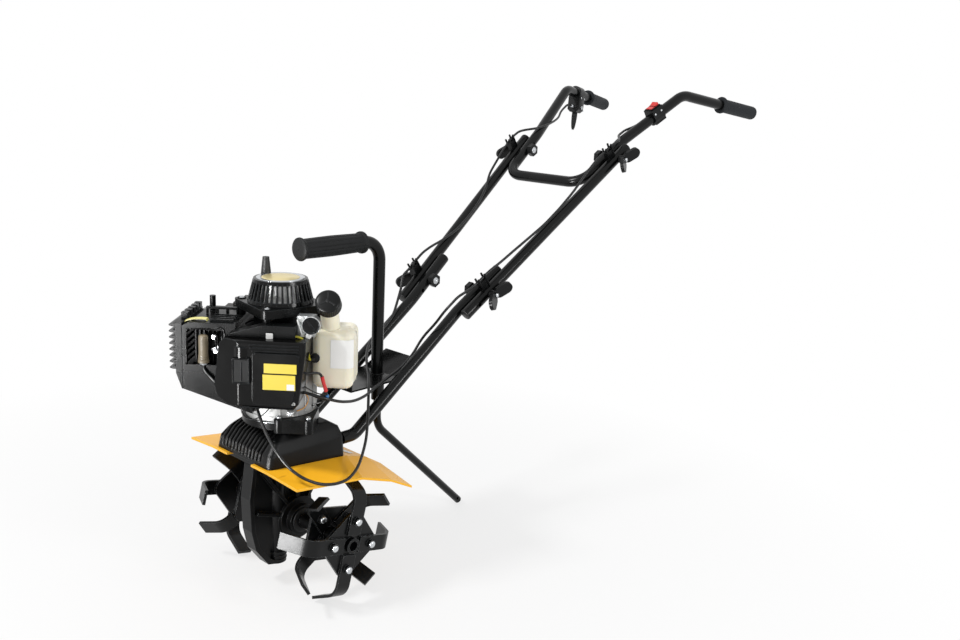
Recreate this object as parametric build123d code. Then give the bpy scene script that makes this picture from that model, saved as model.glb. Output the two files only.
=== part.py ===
from build123d import *
import os
from math import cos, radians, sin, tan

# Mini tiller: a small two-stroke engine on a worm gear case that drives four tine rotors,
# with a folding handlebar, a carry handle and a drag stake.
# Millimetres. +X is forward, +Y is the machine's left and +Z is up. Pieces are placed from the
# centre of the tine axle and then lifted, so that the origin is on the ground under the axle.

# Clearances shared by several pieces, and how far a cutter runs past what it cuts
seat_gap = 0.3
pin_fit = 0.05
overrun = 5.0
bore_reach = 1000.0

# Round steel tube of the frame and handlebar
tube_d = 22.0
tube_wall = 1.6
tube_r = tube_d / 2
tube_bore = tube_d - 2 * tube_wall

# Handlebar: both fold bolts lie on one sloping line, seen from the side
handle_angle = 36.3
lower_pivot_x = -387.0
lower_pivot_z = 367.0
pivot_spacing = 422.0
frame_half_width = 62.0
handle_splay = 5.5
splay_start = 60.0
lap_below = 62.0
lap_above = 36.0
tube_side_gap = 2.0
frame_elbow_z = 146.0
frame_elbow_radius = 28.0
frame_splay_radius = 150.0

# Upper handle
cross_bar_drop = 87.0
leg_bend_rise = 55.0
leg_bend_radius = 150.0
grip_bend_x = -930.0
grip_bend_y = 158.0
grip_bend_z = 752.0
grip_end_x = -1161.0
grip_end_y = 209.0
grip_end_z = 719.0
grip_bend_radius = 48.0
cross_bar_radius = 40.0

# Hand grips
grip_d = 30.0
grip_length = 122.0
grip_flange_d = 37.0
grip_flange_t = 5.0
grip_cap_t = 5.0

# Fold bolts with a hexagonal cap inside and a two-lobed wing outside
bolt_d = 8.0
hex_cap_d = 28.0
hex_cap_t = 10.0
hex_sides = 6
wing_hub_d = 17.0
wing_hub_t = 12.0
wing_lobe_length = 38.0
wing_lobe_width = 23.0
wing_lobe_t = 7.0
wing_lobe_centre = 17.0
wing_tilt = 28.0
spare_hole_d = 8.0
spare_hole_lower = -32.0
spare_hole_upper = 442.0

# Cable clips on the middle tubes
clip_length = 20.0
clip_width = 9.0
clip_height = 19.0
clip_prong_t = 3.0
clip_prong_height = 30.0
clip_places = [2.0, 409.0]

# Gear case: X and Z of the web's corners, and of the front spine outside and inside
axle_boss_r = 27.0
axle_boss_half = 31.0
case_body_r = 39.0
case_body_half = 20.0
case_web_t = 12.0
case_spine_width = 26.0
case_top_z = 118.0
case_web_corners = [(89, 118), (97, 59), (94, 0), (85, -38), (60, -72), (34, -74), (12, -60), (-26, -34),
                    (-39, 0), (-36, 40), (-50, 103)]
case_spine_corners = [(89, 118), (97, 59), (94, 0), (85, -38), (60, -72), (44, -76), (48, -68), (56, -62),
                      (77, -35), (86, 0), (89, 59), (81, 118)]
worm_tube_x = 34.0
worm_tube_r = 14.0
worm_tube_bottom = -76.0
worm_cap_r = 17.0
worm_cap_h = 22.0
case_rib_t = 5.0
case_rib_half = 17.0
case_rib_angles = [20, 55, 90, 125]
case_rib_lengths = [89, 124, 98, 100]
case_flange_t = 8.0
case_flange_x0 = -60.0
case_flange_x1 = 91.0
case_flange_half = 52.0

# Tine shaft and rotors
shaft_d = 16.0
hub_socket_y = 150.0
shaft_setback = 0.6
hub_tube_d = 26.0
hub_socket_d = 17.0
hub_case_gap = 5.0
hub_overhang = 4.0
rotor_split_offset = 10.0
plate_t = 5.0
plate_across = 92.0
plate_corner = 18.0
tine_width = 27.0
tine_t = 5.0
outer_tine_reach = 110.0
inner_tine_reach = 101.0
tine_bend_radius = 26.0
tine_bend_angle = 65.0
outer_tine_side_reach = 52.0
inner_tine_side_reach = 45.0
tine_root_r = 17.0
tine_bolt_circle_r = 41.0
tine_bolt_d = 15.0
tine_bolt_t = 5.0
tines_per_rotor = 4
outer_rotor_y = 154.0
inner_rotor_y = 100.0
outer_phase = -14.0
inner_phase = 31.0

# Deck: X and Z of its top line on the crown and at the side edge
deck_t = 4.0
deck_half_width = 150.0
deck_crown_half = 76.0
deck_crown_line = [(109, 134), (-58, 118), (-104, 103), (-138, 82)]
deck_edge_line = [(105, 127), (-30, 109), (-96, 86), (-146, 60)]
deck_front_x = 109.0
deck_notch_half = 34.0
deck_notch_depth = 16.0
deck_notch_height = 200.0

# Gear cover on the deck: Z, rear X, front X and half width of each level
cover_levels = [(118.3, -56, 106, 76), (154, -56, 99, 73), (171, -51, 84, 66), (182, -34, 66, 57)]
cover_corner = 9.0
cover_groove_depth = 8.0
cover_groove_w = 5.0
cover_groove_pitch = 9.4
cover_grooves = 13
cover_groove_first_y = -64.0
cover_groove_x0 = 36.0
cover_groove_z0 = 139.0
cover_top_z = cover_levels[-1][0]
cover_rear_x = cover_levels[0][1]

# Engine, in its own frame: +X along the cylinder, +Y to its intake side, origin on the crank axis
crank_x = 24.0
engine_turn = -48.0
clutch_flange_r = 64.0
clutch_flange_t = 10.0
clutch_body_r = 54.0
clutch_z1 = 198.0
lug_x0 = -64.0
lug_x1 = -2.0
lug_y = 66.0
lug_rise = 8.0
crankcase_r = 58.0
crankcase_z1 = 338.0
cylinder_x0 = 46.0
cylinder_x1 = 132.0
cylinder_half = 40.0
cylinder_z0 = 268.0
cylinder_z1 = 346.0

# Cylinder shroud: X and Z of its outside and of the space inside it
shroud_x1 = 146.0
shroud_half = 60.0
shroud_wall = 3.0
shroud_z0 = 250.0
shroud_z1 = 360.0
shroud_outside = [(34, 212), (146, 250), (146, 356), (134, 362), (60, 362), (60, 352), (34, 352)]
shroud_inside = [(29, 222), (151, 260), (151, 350), (133, 359), (63, 359), (63, 349), (29, 349)]
boot_bay_x0 = 80.0
boot_bay_x1 = 138.0
boot_bay_z0 = 292.0
boot_bay_z1 = 350.0
shroud_top_z = 362.0
window_frame_y = -5.0
window_frame_t = 6.0
window_frame_x0 = 72.0
window_frame_x1 = 124.0
window_frame_h = 12.0
window_w = 13.0
window_h = 8.0
window_pitch = 17.0
windows = 3
stud_x = 119.0
stud_y = -25.0
stud_d = 10.0
stud_h = 26.0
top_rib_x0 = 66.0
top_rib_x1 = 104.0
top_rib_w = 3.0
top_rib_h = 4.0
top_rib_pitch = 11.0
top_rib_first_y = 14.0
top_ribs = 4

# Louvre grille at the cylinder's end
grille_x1 = 168.0
grille_frame_x1 = 157.0
grille_border = 8.0
grille_chamfer_z = 276.0
grille_fin_x0 = 151.0
grille_fin_z0 = 284.0
grille_fin_z1 = 355.0
grille_fin_tip = 5.0
grille_fin_tip_t = 2.0
grille_fin_inset = 4.0
grille_fins = 8
grille_fin_t = 5.0
grille_teeth = 5
grille_tooth_w = 11.0
grille_tooth_h = 9.0
grille_tooth_pitch = 18.0
grille_tooth_first_y = -57.0

# Spark plug and its boot
boot_d = 15.0
plug_d = 13.0
plug_x = 112.0
plug_y = 52.0
plug_z = 306.0
boot_rise = 34.0

# Muffler with a stepped guard, on the side away from the intake
muffler_x0 = 52.0
muffler_x1 = 140.0
muffler_depth = 44.0
muffler_z0 = 246.0
muffler_z1 = 332.0
guard_step_x = 15.0
guard_step_z = 8.0
guard_steps = 5
guard_x0 = 64.0
guard_base_z = 337.0
guard_depth = 26.0

# Recoil starter
starter_flange_half = 58.0
starter_flange_corner = 10.0
starter_flange_turn = 38.0
starter_flange_t = 14.0
starter_flange_z = 376.0
starter_spacer_r = 44.0
dome_base_r = 54.0
dome_top_r = 44.0
dome_h = 39.0
dome_slots = 36
dome_slot_w = 5.0
dome_slot_depth = 24.0
dome_wall = 4.0
dome_lip_h = 6.0
dome_core_r = 34.0
starter_grip_base_d = 17.0
starter_grip_top_d = 11.0
starter_grip_h = 28.0
starter_grip_x = 30.0
starter_grip_y = -27.0

# Air filter box: X and Y of its plan corners, with a latch column and a raised pad
filter_y0 = shroud_half + seat_gap
filter_y1 = 106.0
filter_plan = [(-60, filter_y0), (-60, 106), (46, 106), (89, 84), (89, filter_y0)]
filter_side = [(-60, 348), (70, 348), (79, 338), (89, 268), (84, 250), (66, 240), (-40, 236), (-49, 246),
               (-60, 330)]
filter_z0 = 232.0
filter_z1 = 348.0
filter_corner = 5.0
latch_x = 40.0
latch_r = 13.0
latch_y = 97.0
latch_z0 = 278.0
latch_z1 = 338.0
pad_corners = [(-52, 330), (23, 330), (23, 246), (-40, 246)]
pad_t = 4.0
pad_corner = 7.0

# Carburettor
carb_x0 = -68.0
carb_x1 = -40.0
carb_y0 = 47.0
carb_y1 = 66.0
carb_z0 = filter_z1 + seat_gap
carb_z1 = 382.0
carb_cap_x = -64.0
carb_cap_z = 370.0
carb_cap_r = 14.0
carb_cap_t = 12.0

# Intake duct from the shroud to the carburettor: X and Z of its side
duct_y0 = shroud_half + seat_gap
duct_y1 = 84.0
duct_corners = [(carb_x1 + seat_gap, carb_z0), (66, carb_z0), (66, 352), (12, 368), (carb_x1 + seat_gap, 368)]

# Fuel tank and cap
tank_x0 = -126.0
tank_x1 = -(crankcase_r + seat_gap)
tank_y0 = -38.0
tank_y1 = 40.0
tank_z0 = 252.0
tank_z1 = 352.0
tank_corner = 14.0
fuel_cap_r = 21.0
fuel_cap_h = 22.0
fuel_neck_r = 15.0
fuel_cap_tilt = 34.0
fuel_neck_length = 66.0
fuel_neck_y = 6.0
fuel_neck_offset = 6.0

# Saddle plate with the stake's socket and gusset, carry handle and stake
plate_sheet_t = 3.0
saddle_lip_x = -90.0
saddle_lip_top = 316.0
saddle_floor_z = 222.0
saddle_rise_x = -205.0
saddle_rear_x = -262.0
saddle_rear_z = 247.0
saddle_rear_skew = 1.0
carry_x = -193.0
carry_top_z = 472.0
carry_front_x = -12.0
carry_bend_radius = 36.0
carry_grip_d = 33.0
carry_grip_length = 142.0
stake_x = -196.0
stake_d = 15.0
stake_elbow_z = 118.0
stake_slope = 43.4
stake_bend_radius = 45.0
stake_hole_d = 6.0
stake_hole_inset = 12.0
stake_socket_d = 24.0
stake_socket_bottom = 172.0
gusset_t = 5.0
gusset_length = 44.0
gusset_height = 38.0

# Stop switch on the left leg and throttle on the right grip, placed by their share of the length
switch_share = 0.55
switch_length = 30.0
switch_collar_d = 31.0
switch_height = 20.0
switch_below = 13.0
switch_width = 27.0
rocker_length = 22.0
rocker_width = 17.0
rocker_low = 3.0
rocker_high = 7.0
throttle_share = 0.26
throttle_length = 30.0
throttle_collar_d = 33.0
throttle_drop = 46.0
throttle_width = 31.0
lever_t = 7.0
lever_width = 13.0
lever_length = 42.0
lever_top = 40.0
lever_tilt = 22.0

# Held cables. On a middle tube each corner has its place along the tube, its height above the
# centre line and its offset inwards. On a leg it has its share of the leg's length, height and
# offset. On the frame it has its X, Y and Z.
cable_d = 5.0
lead_on_mid = [(440, 29, 0), (421, 34, 0), (397, 34, 0), (374, 35, 0), (348, 32, 0), (320, 27, 0), (285, 20, 0),
               (240, 16, 0), (190, 15, 0), (140, 20, 0), (95, 25, 0), (55, 29, 0), (30, 33, 0), (14, 34, 0),
               (-10, 34, 0), (-26, 36, 0)]
throttle_on_mid = [(440, 30, 0), (421, 34, 0), (397, 34, 0), (370, 31, 0), (335, 26, 0), (305, 21, 0),
                   (275, 13, 8), (240, 8, 13), (190, 6, 14), (140, 8, 13), (100, 15, 7), (62, 26, 0),
                   (36, 33, 0), (14, 34, 0), (-10, 34, 0), (-26, 36, 0)]
lead_leg_shares = [0.04, 0.14, 0.28, 0.43]
lead_leg_offsets = [(14, 5), (11, 12), (3, 15), (0, 14)]
throttle_leg_shares = [0.04, 0.16, 0.34, 0.52, 0.72, 0.92]
throttle_leg_offsets = [(14, 5), (7, 14), (-6, 15), (-18, 11), (-27, 0), (-34, 0)]
throttle_entry_drop = 33.0
throttle_entry_run = 26.0
lead_on_frame = [(-301, 90, 364), (-283, 82, 344), (-281, 62, 317), (-270, 39, 286), (-248, 37, 256),
                 (-214, 42, 238), (-178, 46, 228), (-140, 58, 222), (-102, 74, 217), (-62, 88, 219),
                 (-24, 98, 229), (6, 96, 241), (24, 80, 248), (30.5, 67, 250)]
throttle_on_frame = [(-322, -78, 350), (-303, -66, 332), (-278, -50, 311), (-250, -46, 290), (-222, -49, 274),
                     (-198, -34, 260), (-172, -6, 245), (-148, 28, 233), (-122, 58, 222), (-102, 80, 199),
                     (-88, 95, 176), (-74, 108, 153), (-53, 123, 136), (-26, 142, 124), (5, 155, 117),
                     (36, 159, 119), (64, 156, 126), (88, 144, 139), (102, 125, 155), (108, 101, 176),
                     (108, 75, 199), (106, 56, 221), (103, 43, 234.5)]
cable_arc_share = 0.9
cable_arc_max = 260.0

nodes = {}


def on_handle(along, y, lift=0.0):
    """Point on the side line of the handlebar, counted upwards from the lower fold bolt."""
    return (lower_pivot_x - along * cos(radians(handle_angle)) + lift * sin(radians(handle_angle)), y,
            lower_pivot_z + along * sin(radians(handle_angle)) + lift * cos(radians(handle_angle)))


def tube(points, radii, outer_d, inner_d=0.0):
    """Bent tube or bar through the given corner points."""
    path = FilletPolyline(*points, radius=radii) if len(points) > 2 else Line(*points)
    section = Circle(outer_d / 2)
    if inner_d:
        section -= Circle(inner_d / 2)
    start = Plane(origin=path @ 0, z_dir=path % 0)
    return sweep(start * section, path=path)


def cable(points):
    """Round cable along a route, with each corner as wide as its two runs allow."""
    radii = []
    for before, here, after in zip(points, points[1:], points[2:]):
        back = Vector(*before) - Vector(*here)
        ahead = Vector(*after) - Vector(*here)
        turn = radians(180 - back.get_angle(ahead))
        room = min(back.length, ahead.length) / 2 * cable_arc_share
        radii.append(min(cable_arc_max, room / tan(turn / 2)))
    return tube(points, radii, cable_d)


def rod(start, end, diameter):
    """Straight round bar between two points."""
    length = (Vector(*end) - Vector(*start)).length
    plane = Plane(origin=start, z_dir=Vector(*end) - Vector(*start))
    return plane * Cylinder(diameter / 2, length, align=(Align.CENTER, Align.CENTER, Align.MIN))


def post(x, y, z0, z1, radius):
    """Upright round bar."""
    return Pos(x, y, z0) * Cylinder(radius, z1 - z0, align=(Align.CENTER, Align.CENTER, Align.MIN))


def slab(x0, x1, y0, y1, z0, z1):
    """Block between two corners."""
    return Pos((x0 + x1) / 2, (y0 + y1) / 2, (z0 + z1) / 2) * Box(x1 - x0, y1 - y0, z1 - z0)


def side_profile(corners, y0, y1):
    """Solid with the given X and Z outline between two Y values."""
    outline = Polyline(*[(x, y0, z) for x, z in corners], close=True)
    return extrude(make_face(outline), amount=y1 - y0, dir=(0, 1, 0))


def mirrored(solid):
    """The same solid on the machine's right side."""
    return mirror(solid, about=Plane.XZ)


def on_engine(solid):
    """Turn a piece of the engine to its place on the gear case."""
    return Location((crank_x, 0, 0), (0, 0, engine_turn)) * solid


def add(name, *solids):
    """Keep a node, made of one solid or of several that don't touch."""
    nodes[name] = solids[0] if len(solids) == 1 else Compound(children=list(solids))


# Derived places of the handlebar
splay = tan(radians(handle_splay))
splay_cos = cos(radians(handle_splay))
pivot_y = frame_half_width + splay * splay_start
side_step = (tube_d + tube_side_gap) / splay_cos
mid_y = pivot_y + side_step


def lower_tube_y(along):
    return frame_half_width + max(0.0, along + splay_start) * splay


def mid_tube_y(along):
    return mid_y + along * splay


def leg_y(along):
    return mid_tube_y(along) - side_step


def leg_corner():
    along = pivot_spacing + leg_bend_rise
    return on_handle(along, leg_y(along))


def deck_under(x):
    """Height just under the crown of the deck."""
    (front_x, front_z), (rear_x, rear_z) = deck_crown_line[:2]
    return rear_z + (x - rear_x) * (front_z - rear_z) / (front_x - rear_x) - deck_t - seat_gap


# Gear case: a thin web with a front spine, the worm tube, the axle boss and radiating ribs
def make_gear_case():
    case = side_profile(case_web_corners, -case_web_t / 2, case_web_t / 2)
    case += side_profile(case_spine_corners, -case_spine_width / 2, case_spine_width / 2)
    case += post(worm_tube_x, 0, worm_tube_bottom, case_top_z, worm_tube_r)
    case += post(worm_tube_x, 0, worm_tube_bottom, worm_tube_bottom + worm_cap_h, worm_cap_r)
    case += Rot(90, 0, 0) * Cylinder(case_body_r, 2 * case_body_half)
    case += Rot(90, 0, 0) * Cylinder(axle_boss_r, 2 * axle_boss_half)
    for angle, length in zip(case_rib_angles, case_rib_lengths):
        rib = Pos(length / 2, 0, 0) * Box(length, 2 * case_rib_half, case_rib_t)
        case += Rot(0, -angle, 0) * rib
    top = [(x, deck_under(x)) for x in (case_flange_x0, case_flange_x1)]
    under = [(x, z - case_flange_t) for x, z in reversed(top)]
    case += side_profile(top + under, -case_flange_half, case_flange_half)
    case -= Rot(90, 0, 0) * Cylinder(shaft_d / 2 + pin_fit, 3 * axle_boss_half)
    return case


# One flat bar tine, from its root near the hub out to a side-bent tip
def make_tine(reach, side_reach, turn_towards):
    bend = radians(tine_bend_angle)
    run = (side_reach - tine_bend_radius * (1 - cos(bend))) / sin(bend)
    corner = reach - run * cos(bend) - tine_bend_radius * (sin(bend) - tan(bend / 2))
    tip_y = tine_bend_radius * (1 - cos(bend)) + run * sin(bend)
    path = FilletPolyline((tine_root_r, 0, 0), (corner, 0, 0), (reach, tip_y, 0), radius=tine_bend_radius)
    section = Plane(origin=path @ 0, z_dir=path % 0, x_dir=(0, 0, 1)) * Rectangle(tine_width, tine_t)
    blade = sweep(section, path=path)
    return blade if turn_towards > 0 else mirrored(blade)


def make_rotor(y, phase, tine, hub_y0, hub_y1):
    """Square plate with four tines bolted to its outer face, welded on a hub tube."""
    plate = extrude(RectangleRounded(plate_across, plate_across, plate_corner), amount=plate_t / 2, both=True)
    rotor = Rot(0, phase + 180 / tines_per_rotor, 0) * Pos(0, y, 0) * Rot(90, 0, 0) * plate
    for k in range(tines_per_rotor):
        turn = Rot(0, phase + (k - 1) * 360 / tines_per_rotor, 0)
        face_y = y + plate_t / 2
        rotor += turn * Pos(0, face_y + tine_t / 2, 0) * tine
        rotor += turn * rod((tine_bolt_circle_r, face_y + tine_t, 0),
                            (tine_bolt_circle_r, face_y + tine_t + tine_bolt_t, 0), tine_bolt_d)
    rotor += rod((0, hub_y0, 0), (0, hub_y1, 0), hub_tube_d)
    rotor -= rod((0, hub_y0 - overrun, 0), (0, hub_y1 + overrun, 0), shaft_d)
    return rotor


def add_rotors():
    split = (inner_rotor_y + outer_rotor_y) / 2 - rotor_split_offset
    outer_end = outer_rotor_y + plate_t / 2 + tine_t + hub_overhang
    inner_tine = make_tine(inner_tine_reach, inner_tine_side_reach, 1)
    outer_tine = make_tine(outer_tine_reach, outer_tine_side_reach, -1)
    inner = make_rotor(inner_rotor_y, inner_phase, inner_tine, axle_boss_half + hub_case_gap, split)
    outer = make_rotor(outer_rotor_y, outer_phase, outer_tine, split, outer_end)
    outer -= rod((0, hub_socket_y, 0), (0, outer_end + overrun, 0), hub_socket_d)
    add("rotor_left_inner", inner)
    add("rotor_left_outer", outer)
    add("rotor_right_inner", mirrored(inner))
    add("rotor_right_outer", mirrored(outer))
    shaft_end_y = hub_socket_y - shaft_setback
    add("tine_shaft", rod((0, -shaft_end_y, 0), (0, shaft_end_y, 0), shaft_d))


# Deck: crowned sheet with a drooping tail and a notch round the gear case
def make_deck():
    def sheet_face(line, y):
        under = [(x, z - deck_t) for x, z in reversed(line)]
        return make_face(Polyline(*[(x, y, z) for x, z in line + under], close=True))

    stations = [(deck_edge_line, -deck_half_width), (deck_crown_line, -deck_crown_half),
                (deck_crown_line, deck_crown_half), (deck_edge_line, deck_half_width)]
    faces = [sheet_face(line, y) for line, y in stations]
    strips = [loft([near, far], ruled=True) for near, far in zip(faces, faces[1:])]
    notch = slab(deck_front_x - deck_notch_depth, deck_front_x + overrun,
                 -deck_notch_half, deck_notch_half, 0, deck_notch_height)
    return strips[0] + strips[1:] - notch


# Gear cover: a rounded hood whose front slope is cut into ribs
def cover_hood(inset):
    levels = [Pos((x0 + x1 - inset) / 2, 0, z - inset / 2)
              * RectangleRounded(x1 - inset - x0, 2 * half, cover_corner)
              for z, x0, x1, half in cover_levels]
    return loft(levels, ruled=True)


def make_gear_cover():
    hood = cover_hood(0.0)
    seat = [(x, deck_under(x) + deck_t + 2 * seat_gap) for x in (2 * cover_rear_x, 2 * deck_front_x)]
    hood -= side_profile(seat + [(x, 0) for x, _ in reversed(seat)], -deck_half_width, deck_half_width)
    core = cover_hood(cover_groove_depth)
    front_x = deck_front_x + overrun
    for k in range(cover_grooves):
        y = cover_groove_first_y + k * cover_groove_pitch
        cutter = slab(cover_groove_x0, front_x, y - cover_groove_w / 2, y + cover_groove_w / 2,
                      cover_groove_z0, cover_top_z + overrun)
        hood -= cutter - core
    return hood


def make_clutch_housing():
    base = cover_top_z + seat_gap
    body = post(0, 0, base, clutch_z1, clutch_body_r)
    body += post(0, 0, clutch_z1 - clutch_flange_t, clutch_z1, clutch_flange_r)
    body += slab(lug_x0, lug_x1, 0, lug_y, base, clutch_z1 + lug_rise)
    return on_engine(body)


def make_crankcase():
    case = post(0, 0, clutch_z1, crankcase_z1, crankcase_r)
    case -= slab(lug_x0 - overrun, lug_x1 + seat_gap, 0, lug_y + overrun,
                 clutch_z1, clutch_z1 + lug_rise + seat_gap)
    return on_engine(case)


def make_cylinder():
    block = slab(cylinder_x0, cylinder_x1, -cylinder_half, cylinder_half, cylinder_z0, cylinder_z1)
    block -= Cylinder(crankcase_r + seat_gap, bore_reach)
    block += rod((plug_x, cylinder_half - overrun, plug_z), (plug_x, plug_y, plug_z), plug_d)
    return on_engine(block)


# Cylinder shroud with the boot bay, the window frame, ribs and a stud on top
def make_shroud():
    shroud = side_profile(shroud_outside, -shroud_half, shroud_half)
    shroud -= side_profile(shroud_inside, shroud_wall - shroud_half, shroud_half - shroud_wall)
    shroud -= slab(boot_bay_x0, boot_bay_x1, shroud_half - 2 * shroud_wall, shroud_half + overrun,
                   boot_bay_z0, boot_bay_z1)
    shroud -= Cylinder(crankcase_r + seat_gap, bore_reach)
    foot = shroud_top_z - shroud_wall
    frame = slab(window_frame_x0, window_frame_x1, window_frame_y - window_frame_t / 2,
                 window_frame_y + window_frame_t / 2, foot, shroud_top_z + window_frame_h)
    for k in range(windows):
        x = window_frame_x0 + window_pitch / 2 + k * window_pitch
        frame -= slab(x - window_w / 2, x + window_w / 2, window_frame_y - window_frame_t,
                      window_frame_y + window_frame_t, shroud_top_z, shroud_top_z + window_h)
    shroud += frame
    for k in range(top_ribs):
        y = top_rib_first_y + k * top_rib_pitch
        shroud += slab(top_rib_x0, top_rib_x1, y - top_rib_w / 2, y + top_rib_w / 2, foot, shroud_top_z + top_rib_h)
    shroud += post(stud_x, stud_y, foot - overrun, shroud_top_z + stud_h, stud_d / 2)
    return on_engine(shroud)


def make_grille():
    z0 = shroud_z0
    z1 = shroud_z1
    frame_x0 = shroud_x1 + seat_gap
    frame = slab(frame_x0, grille_frame_x1, -shroud_half, shroud_half, z0, z1)
    frame -= slab(shroud_x1 - overrun, grille_x1, grille_border - shroud_half, shroud_half - grille_border,
                  grille_chamfer_z, z1 - grille_border)
    frame -= side_profile([(grille_frame_x1, grille_chamfer_z), (frame_x0, z0 - overrun),
                           (grille_frame_x1 + overrun, z0 - overrun)], -2 * shroud_half, 2 * shroud_half)
    fin_half = shroud_half - grille_fin_inset
    tip_x = grille_x1 - grille_fin_tip
    for k in range(grille_fins):
        z = grille_fin_z0 + k * (grille_fin_z1 - grille_fin_z0) / (grille_fins - 1)
        half = grille_fin_t / 2
        tip = grille_fin_tip_t / 2
        fin = [(grille_fin_x0, z - half), (tip_x, z - half), (grille_x1, z - tip), (grille_x1, z + tip),
               (tip_x, z + half), (grille_fin_x0, z + half)]
        frame += side_profile(fin, -fin_half, fin_half)
    for k in range(grille_teeth):
        y = grille_tooth_first_y + k * grille_tooth_pitch
        frame += slab(frame_x0, grille_frame_x1, y, y + grille_tooth_w, z1 - overrun, z1 + grille_tooth_h)
    return on_engine(frame)


def make_boot():
    y = plug_y + seat_gap + boot_d / 2
    return on_engine(rod((plug_x, y, plug_z - boot_d / 2), (plug_x, y, plug_z + boot_rise), boot_d))


def make_muffler():
    side = -shroud_half - seat_gap
    body = slab(muffler_x0, muffler_x1, side - muffler_depth, side, muffler_z0, muffler_z1)
    for k in range(guard_steps):
        x = guard_x0 + k * guard_step_x
        body += slab(x, x + guard_step_x, side - guard_depth, side, muffler_z1 - overrun,
                     guard_base_z + (guard_steps - k) * guard_step_z)
    return on_engine(body)


def make_starter_flange():
    plate = extrude(RectangleRounded(2 * starter_flange_half, 2 * starter_flange_half, starter_flange_corner),
                    amount=starter_flange_t)
    plate = Pos(0, 0, starter_flange_z) * Rot(0, 0, starter_flange_turn) * plate
    return on_engine(plate + post(0, 0, crankcase_z1 + seat_gap, starter_flange_z, starter_spacer_r))


def make_starter_dome():
    z0 = starter_flange_z + starter_flange_t + seat_gap
    up = (Align.CENTER, Align.CENTER, Align.MIN)
    dome = Pos(0, 0, z0) * Cone(dome_base_r, dome_top_r, dome_h, align=up)
    dome -= Pos(0, 0, z0 - overrun) * Cone(dome_base_r - dome_wall, dome_top_r - dome_wall,
                                           dome_h + overrun - dome_wall, align=up)
    slot_h = dome_h - 2 * dome_lip_h
    slots = [Rot(0, 0, k * 360 / dome_slots) * Pos(dome_base_r - dome_wall, 0, z0 + dome_h / 2)
             * Box(dome_slot_depth, dome_slot_w, slot_h) for k in range(dome_slots)]
    dome -= slots
    dome += post(0, 0, z0, z0 + dome_h - dome_wall / 2, dome_core_r)
    return on_engine(dome)


def make_starter_grip():
    z = starter_flange_z + starter_flange_t + dome_h + 2 * seat_gap
    grip = Cone(starter_grip_base_d / 2, starter_grip_top_d / 2, starter_grip_h,
                align=(Align.CENTER, Align.CENTER, Align.MIN))
    return on_engine(Pos(starter_grip_x, starter_grip_y, z) * grip)


def make_filter_box():
    plan = make_face(Polyline(*[(x, y, filter_z0) for x, y in filter_plan], close=True))
    box = extrude(plan, amount=filter_z1 - filter_z0, dir=(0, 0, 1))
    box &= side_profile(filter_side, filter_y0, filter_y1)
    box = fillet(box.faces().sort_by(Axis.Y)[-1].edges(), filter_corner)
    box += post(latch_x, latch_y, latch_z0, latch_z1, latch_r)
    pad = make_face(Polyline(*[(x, filter_y1 - pad_t, z) for x, z in pad_corners], close=True))
    pad = extrude(fillet(pad.vertices(), pad_corner), amount=2 * pad_t, dir=(0, 1, 0))
    return on_engine(box + pad)


def make_carb():
    body = slab(carb_x0, carb_x1, carb_y0, carb_y1, carb_z0, carb_z1)
    body += rod((carb_cap_x, carb_y1 - overrun, carb_cap_z), (carb_cap_x, carb_y1 + carb_cap_t, carb_cap_z),
                2 * carb_cap_r)
    return on_engine(body)


def make_duct():
    return on_engine(side_profile(duct_corners, duct_y0, duct_y1))


def neck_point(height):
    base = Vector((tank_x0 + tank_x1) / 2 + fuel_neck_offset, fuel_neck_y, tank_z1 - fuel_neck_r)
    tilt = radians(fuel_cap_tilt)
    return tuple(base + Vector(0, sin(tilt), cos(tilt)) * height)


def make_tank():
    tank = slab(tank_x0, tank_x1, tank_y0, tank_y1, tank_z0, tank_z1)
    tank = fillet(tank.edges(), tank_corner)
    return on_engine(tank + rod(neck_point(0), neck_point(fuel_neck_length), 2 * fuel_neck_r))


def make_fuel_cap():
    top = neck_point(fuel_neck_length + fuel_cap_h)
    return on_engine(rod(neck_point(fuel_neck_length), top, 2 * fuel_cap_r))


# Frame tubes from the gear cover up past the lower fold bolts
def make_frame_tube():
    elbow_x = lower_pivot_x + (lower_pivot_z - frame_elbow_z) / tan(radians(handle_angle))
    corners = [(cover_rear_x - seat_gap, frame_half_width, frame_elbow_z),
               (elbow_x, frame_half_width, frame_elbow_z), on_handle(-splay_start, frame_half_width),
               on_handle(lap_below, lower_tube_y(lap_below))]
    return tube(corners, [frame_elbow_radius, frame_splay_radius], tube_d, tube_bore)


def make_mid_tube():
    low = -lap_below
    high = pivot_spacing + lap_above
    body = rod(on_handle(low, mid_tube_y(low)), on_handle(high, mid_tube_y(high)), tube_d)
    body -= rod(on_handle(low - overrun, mid_tube_y(low - overrun)),
                on_handle(high + overrun, mid_tube_y(high + overrun)), tube_bore)
    return body


def make_upper_handle():
    corner = pivot_spacing - cross_bar_drop
    half = [on_handle(corner, leg_y(corner)), leg_corner(), (grip_bend_x, grip_bend_y, grip_bend_z),
            (grip_end_x, grip_end_y, grip_end_z)]
    other = [(x, -y, z) for x, y, z in half]
    radii_half = [cross_bar_radius, leg_bend_radius, grip_bend_radius]
    return tube(half[::-1] + other, radii_half[::-1] + radii_half, tube_d, tube_bore)


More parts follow.
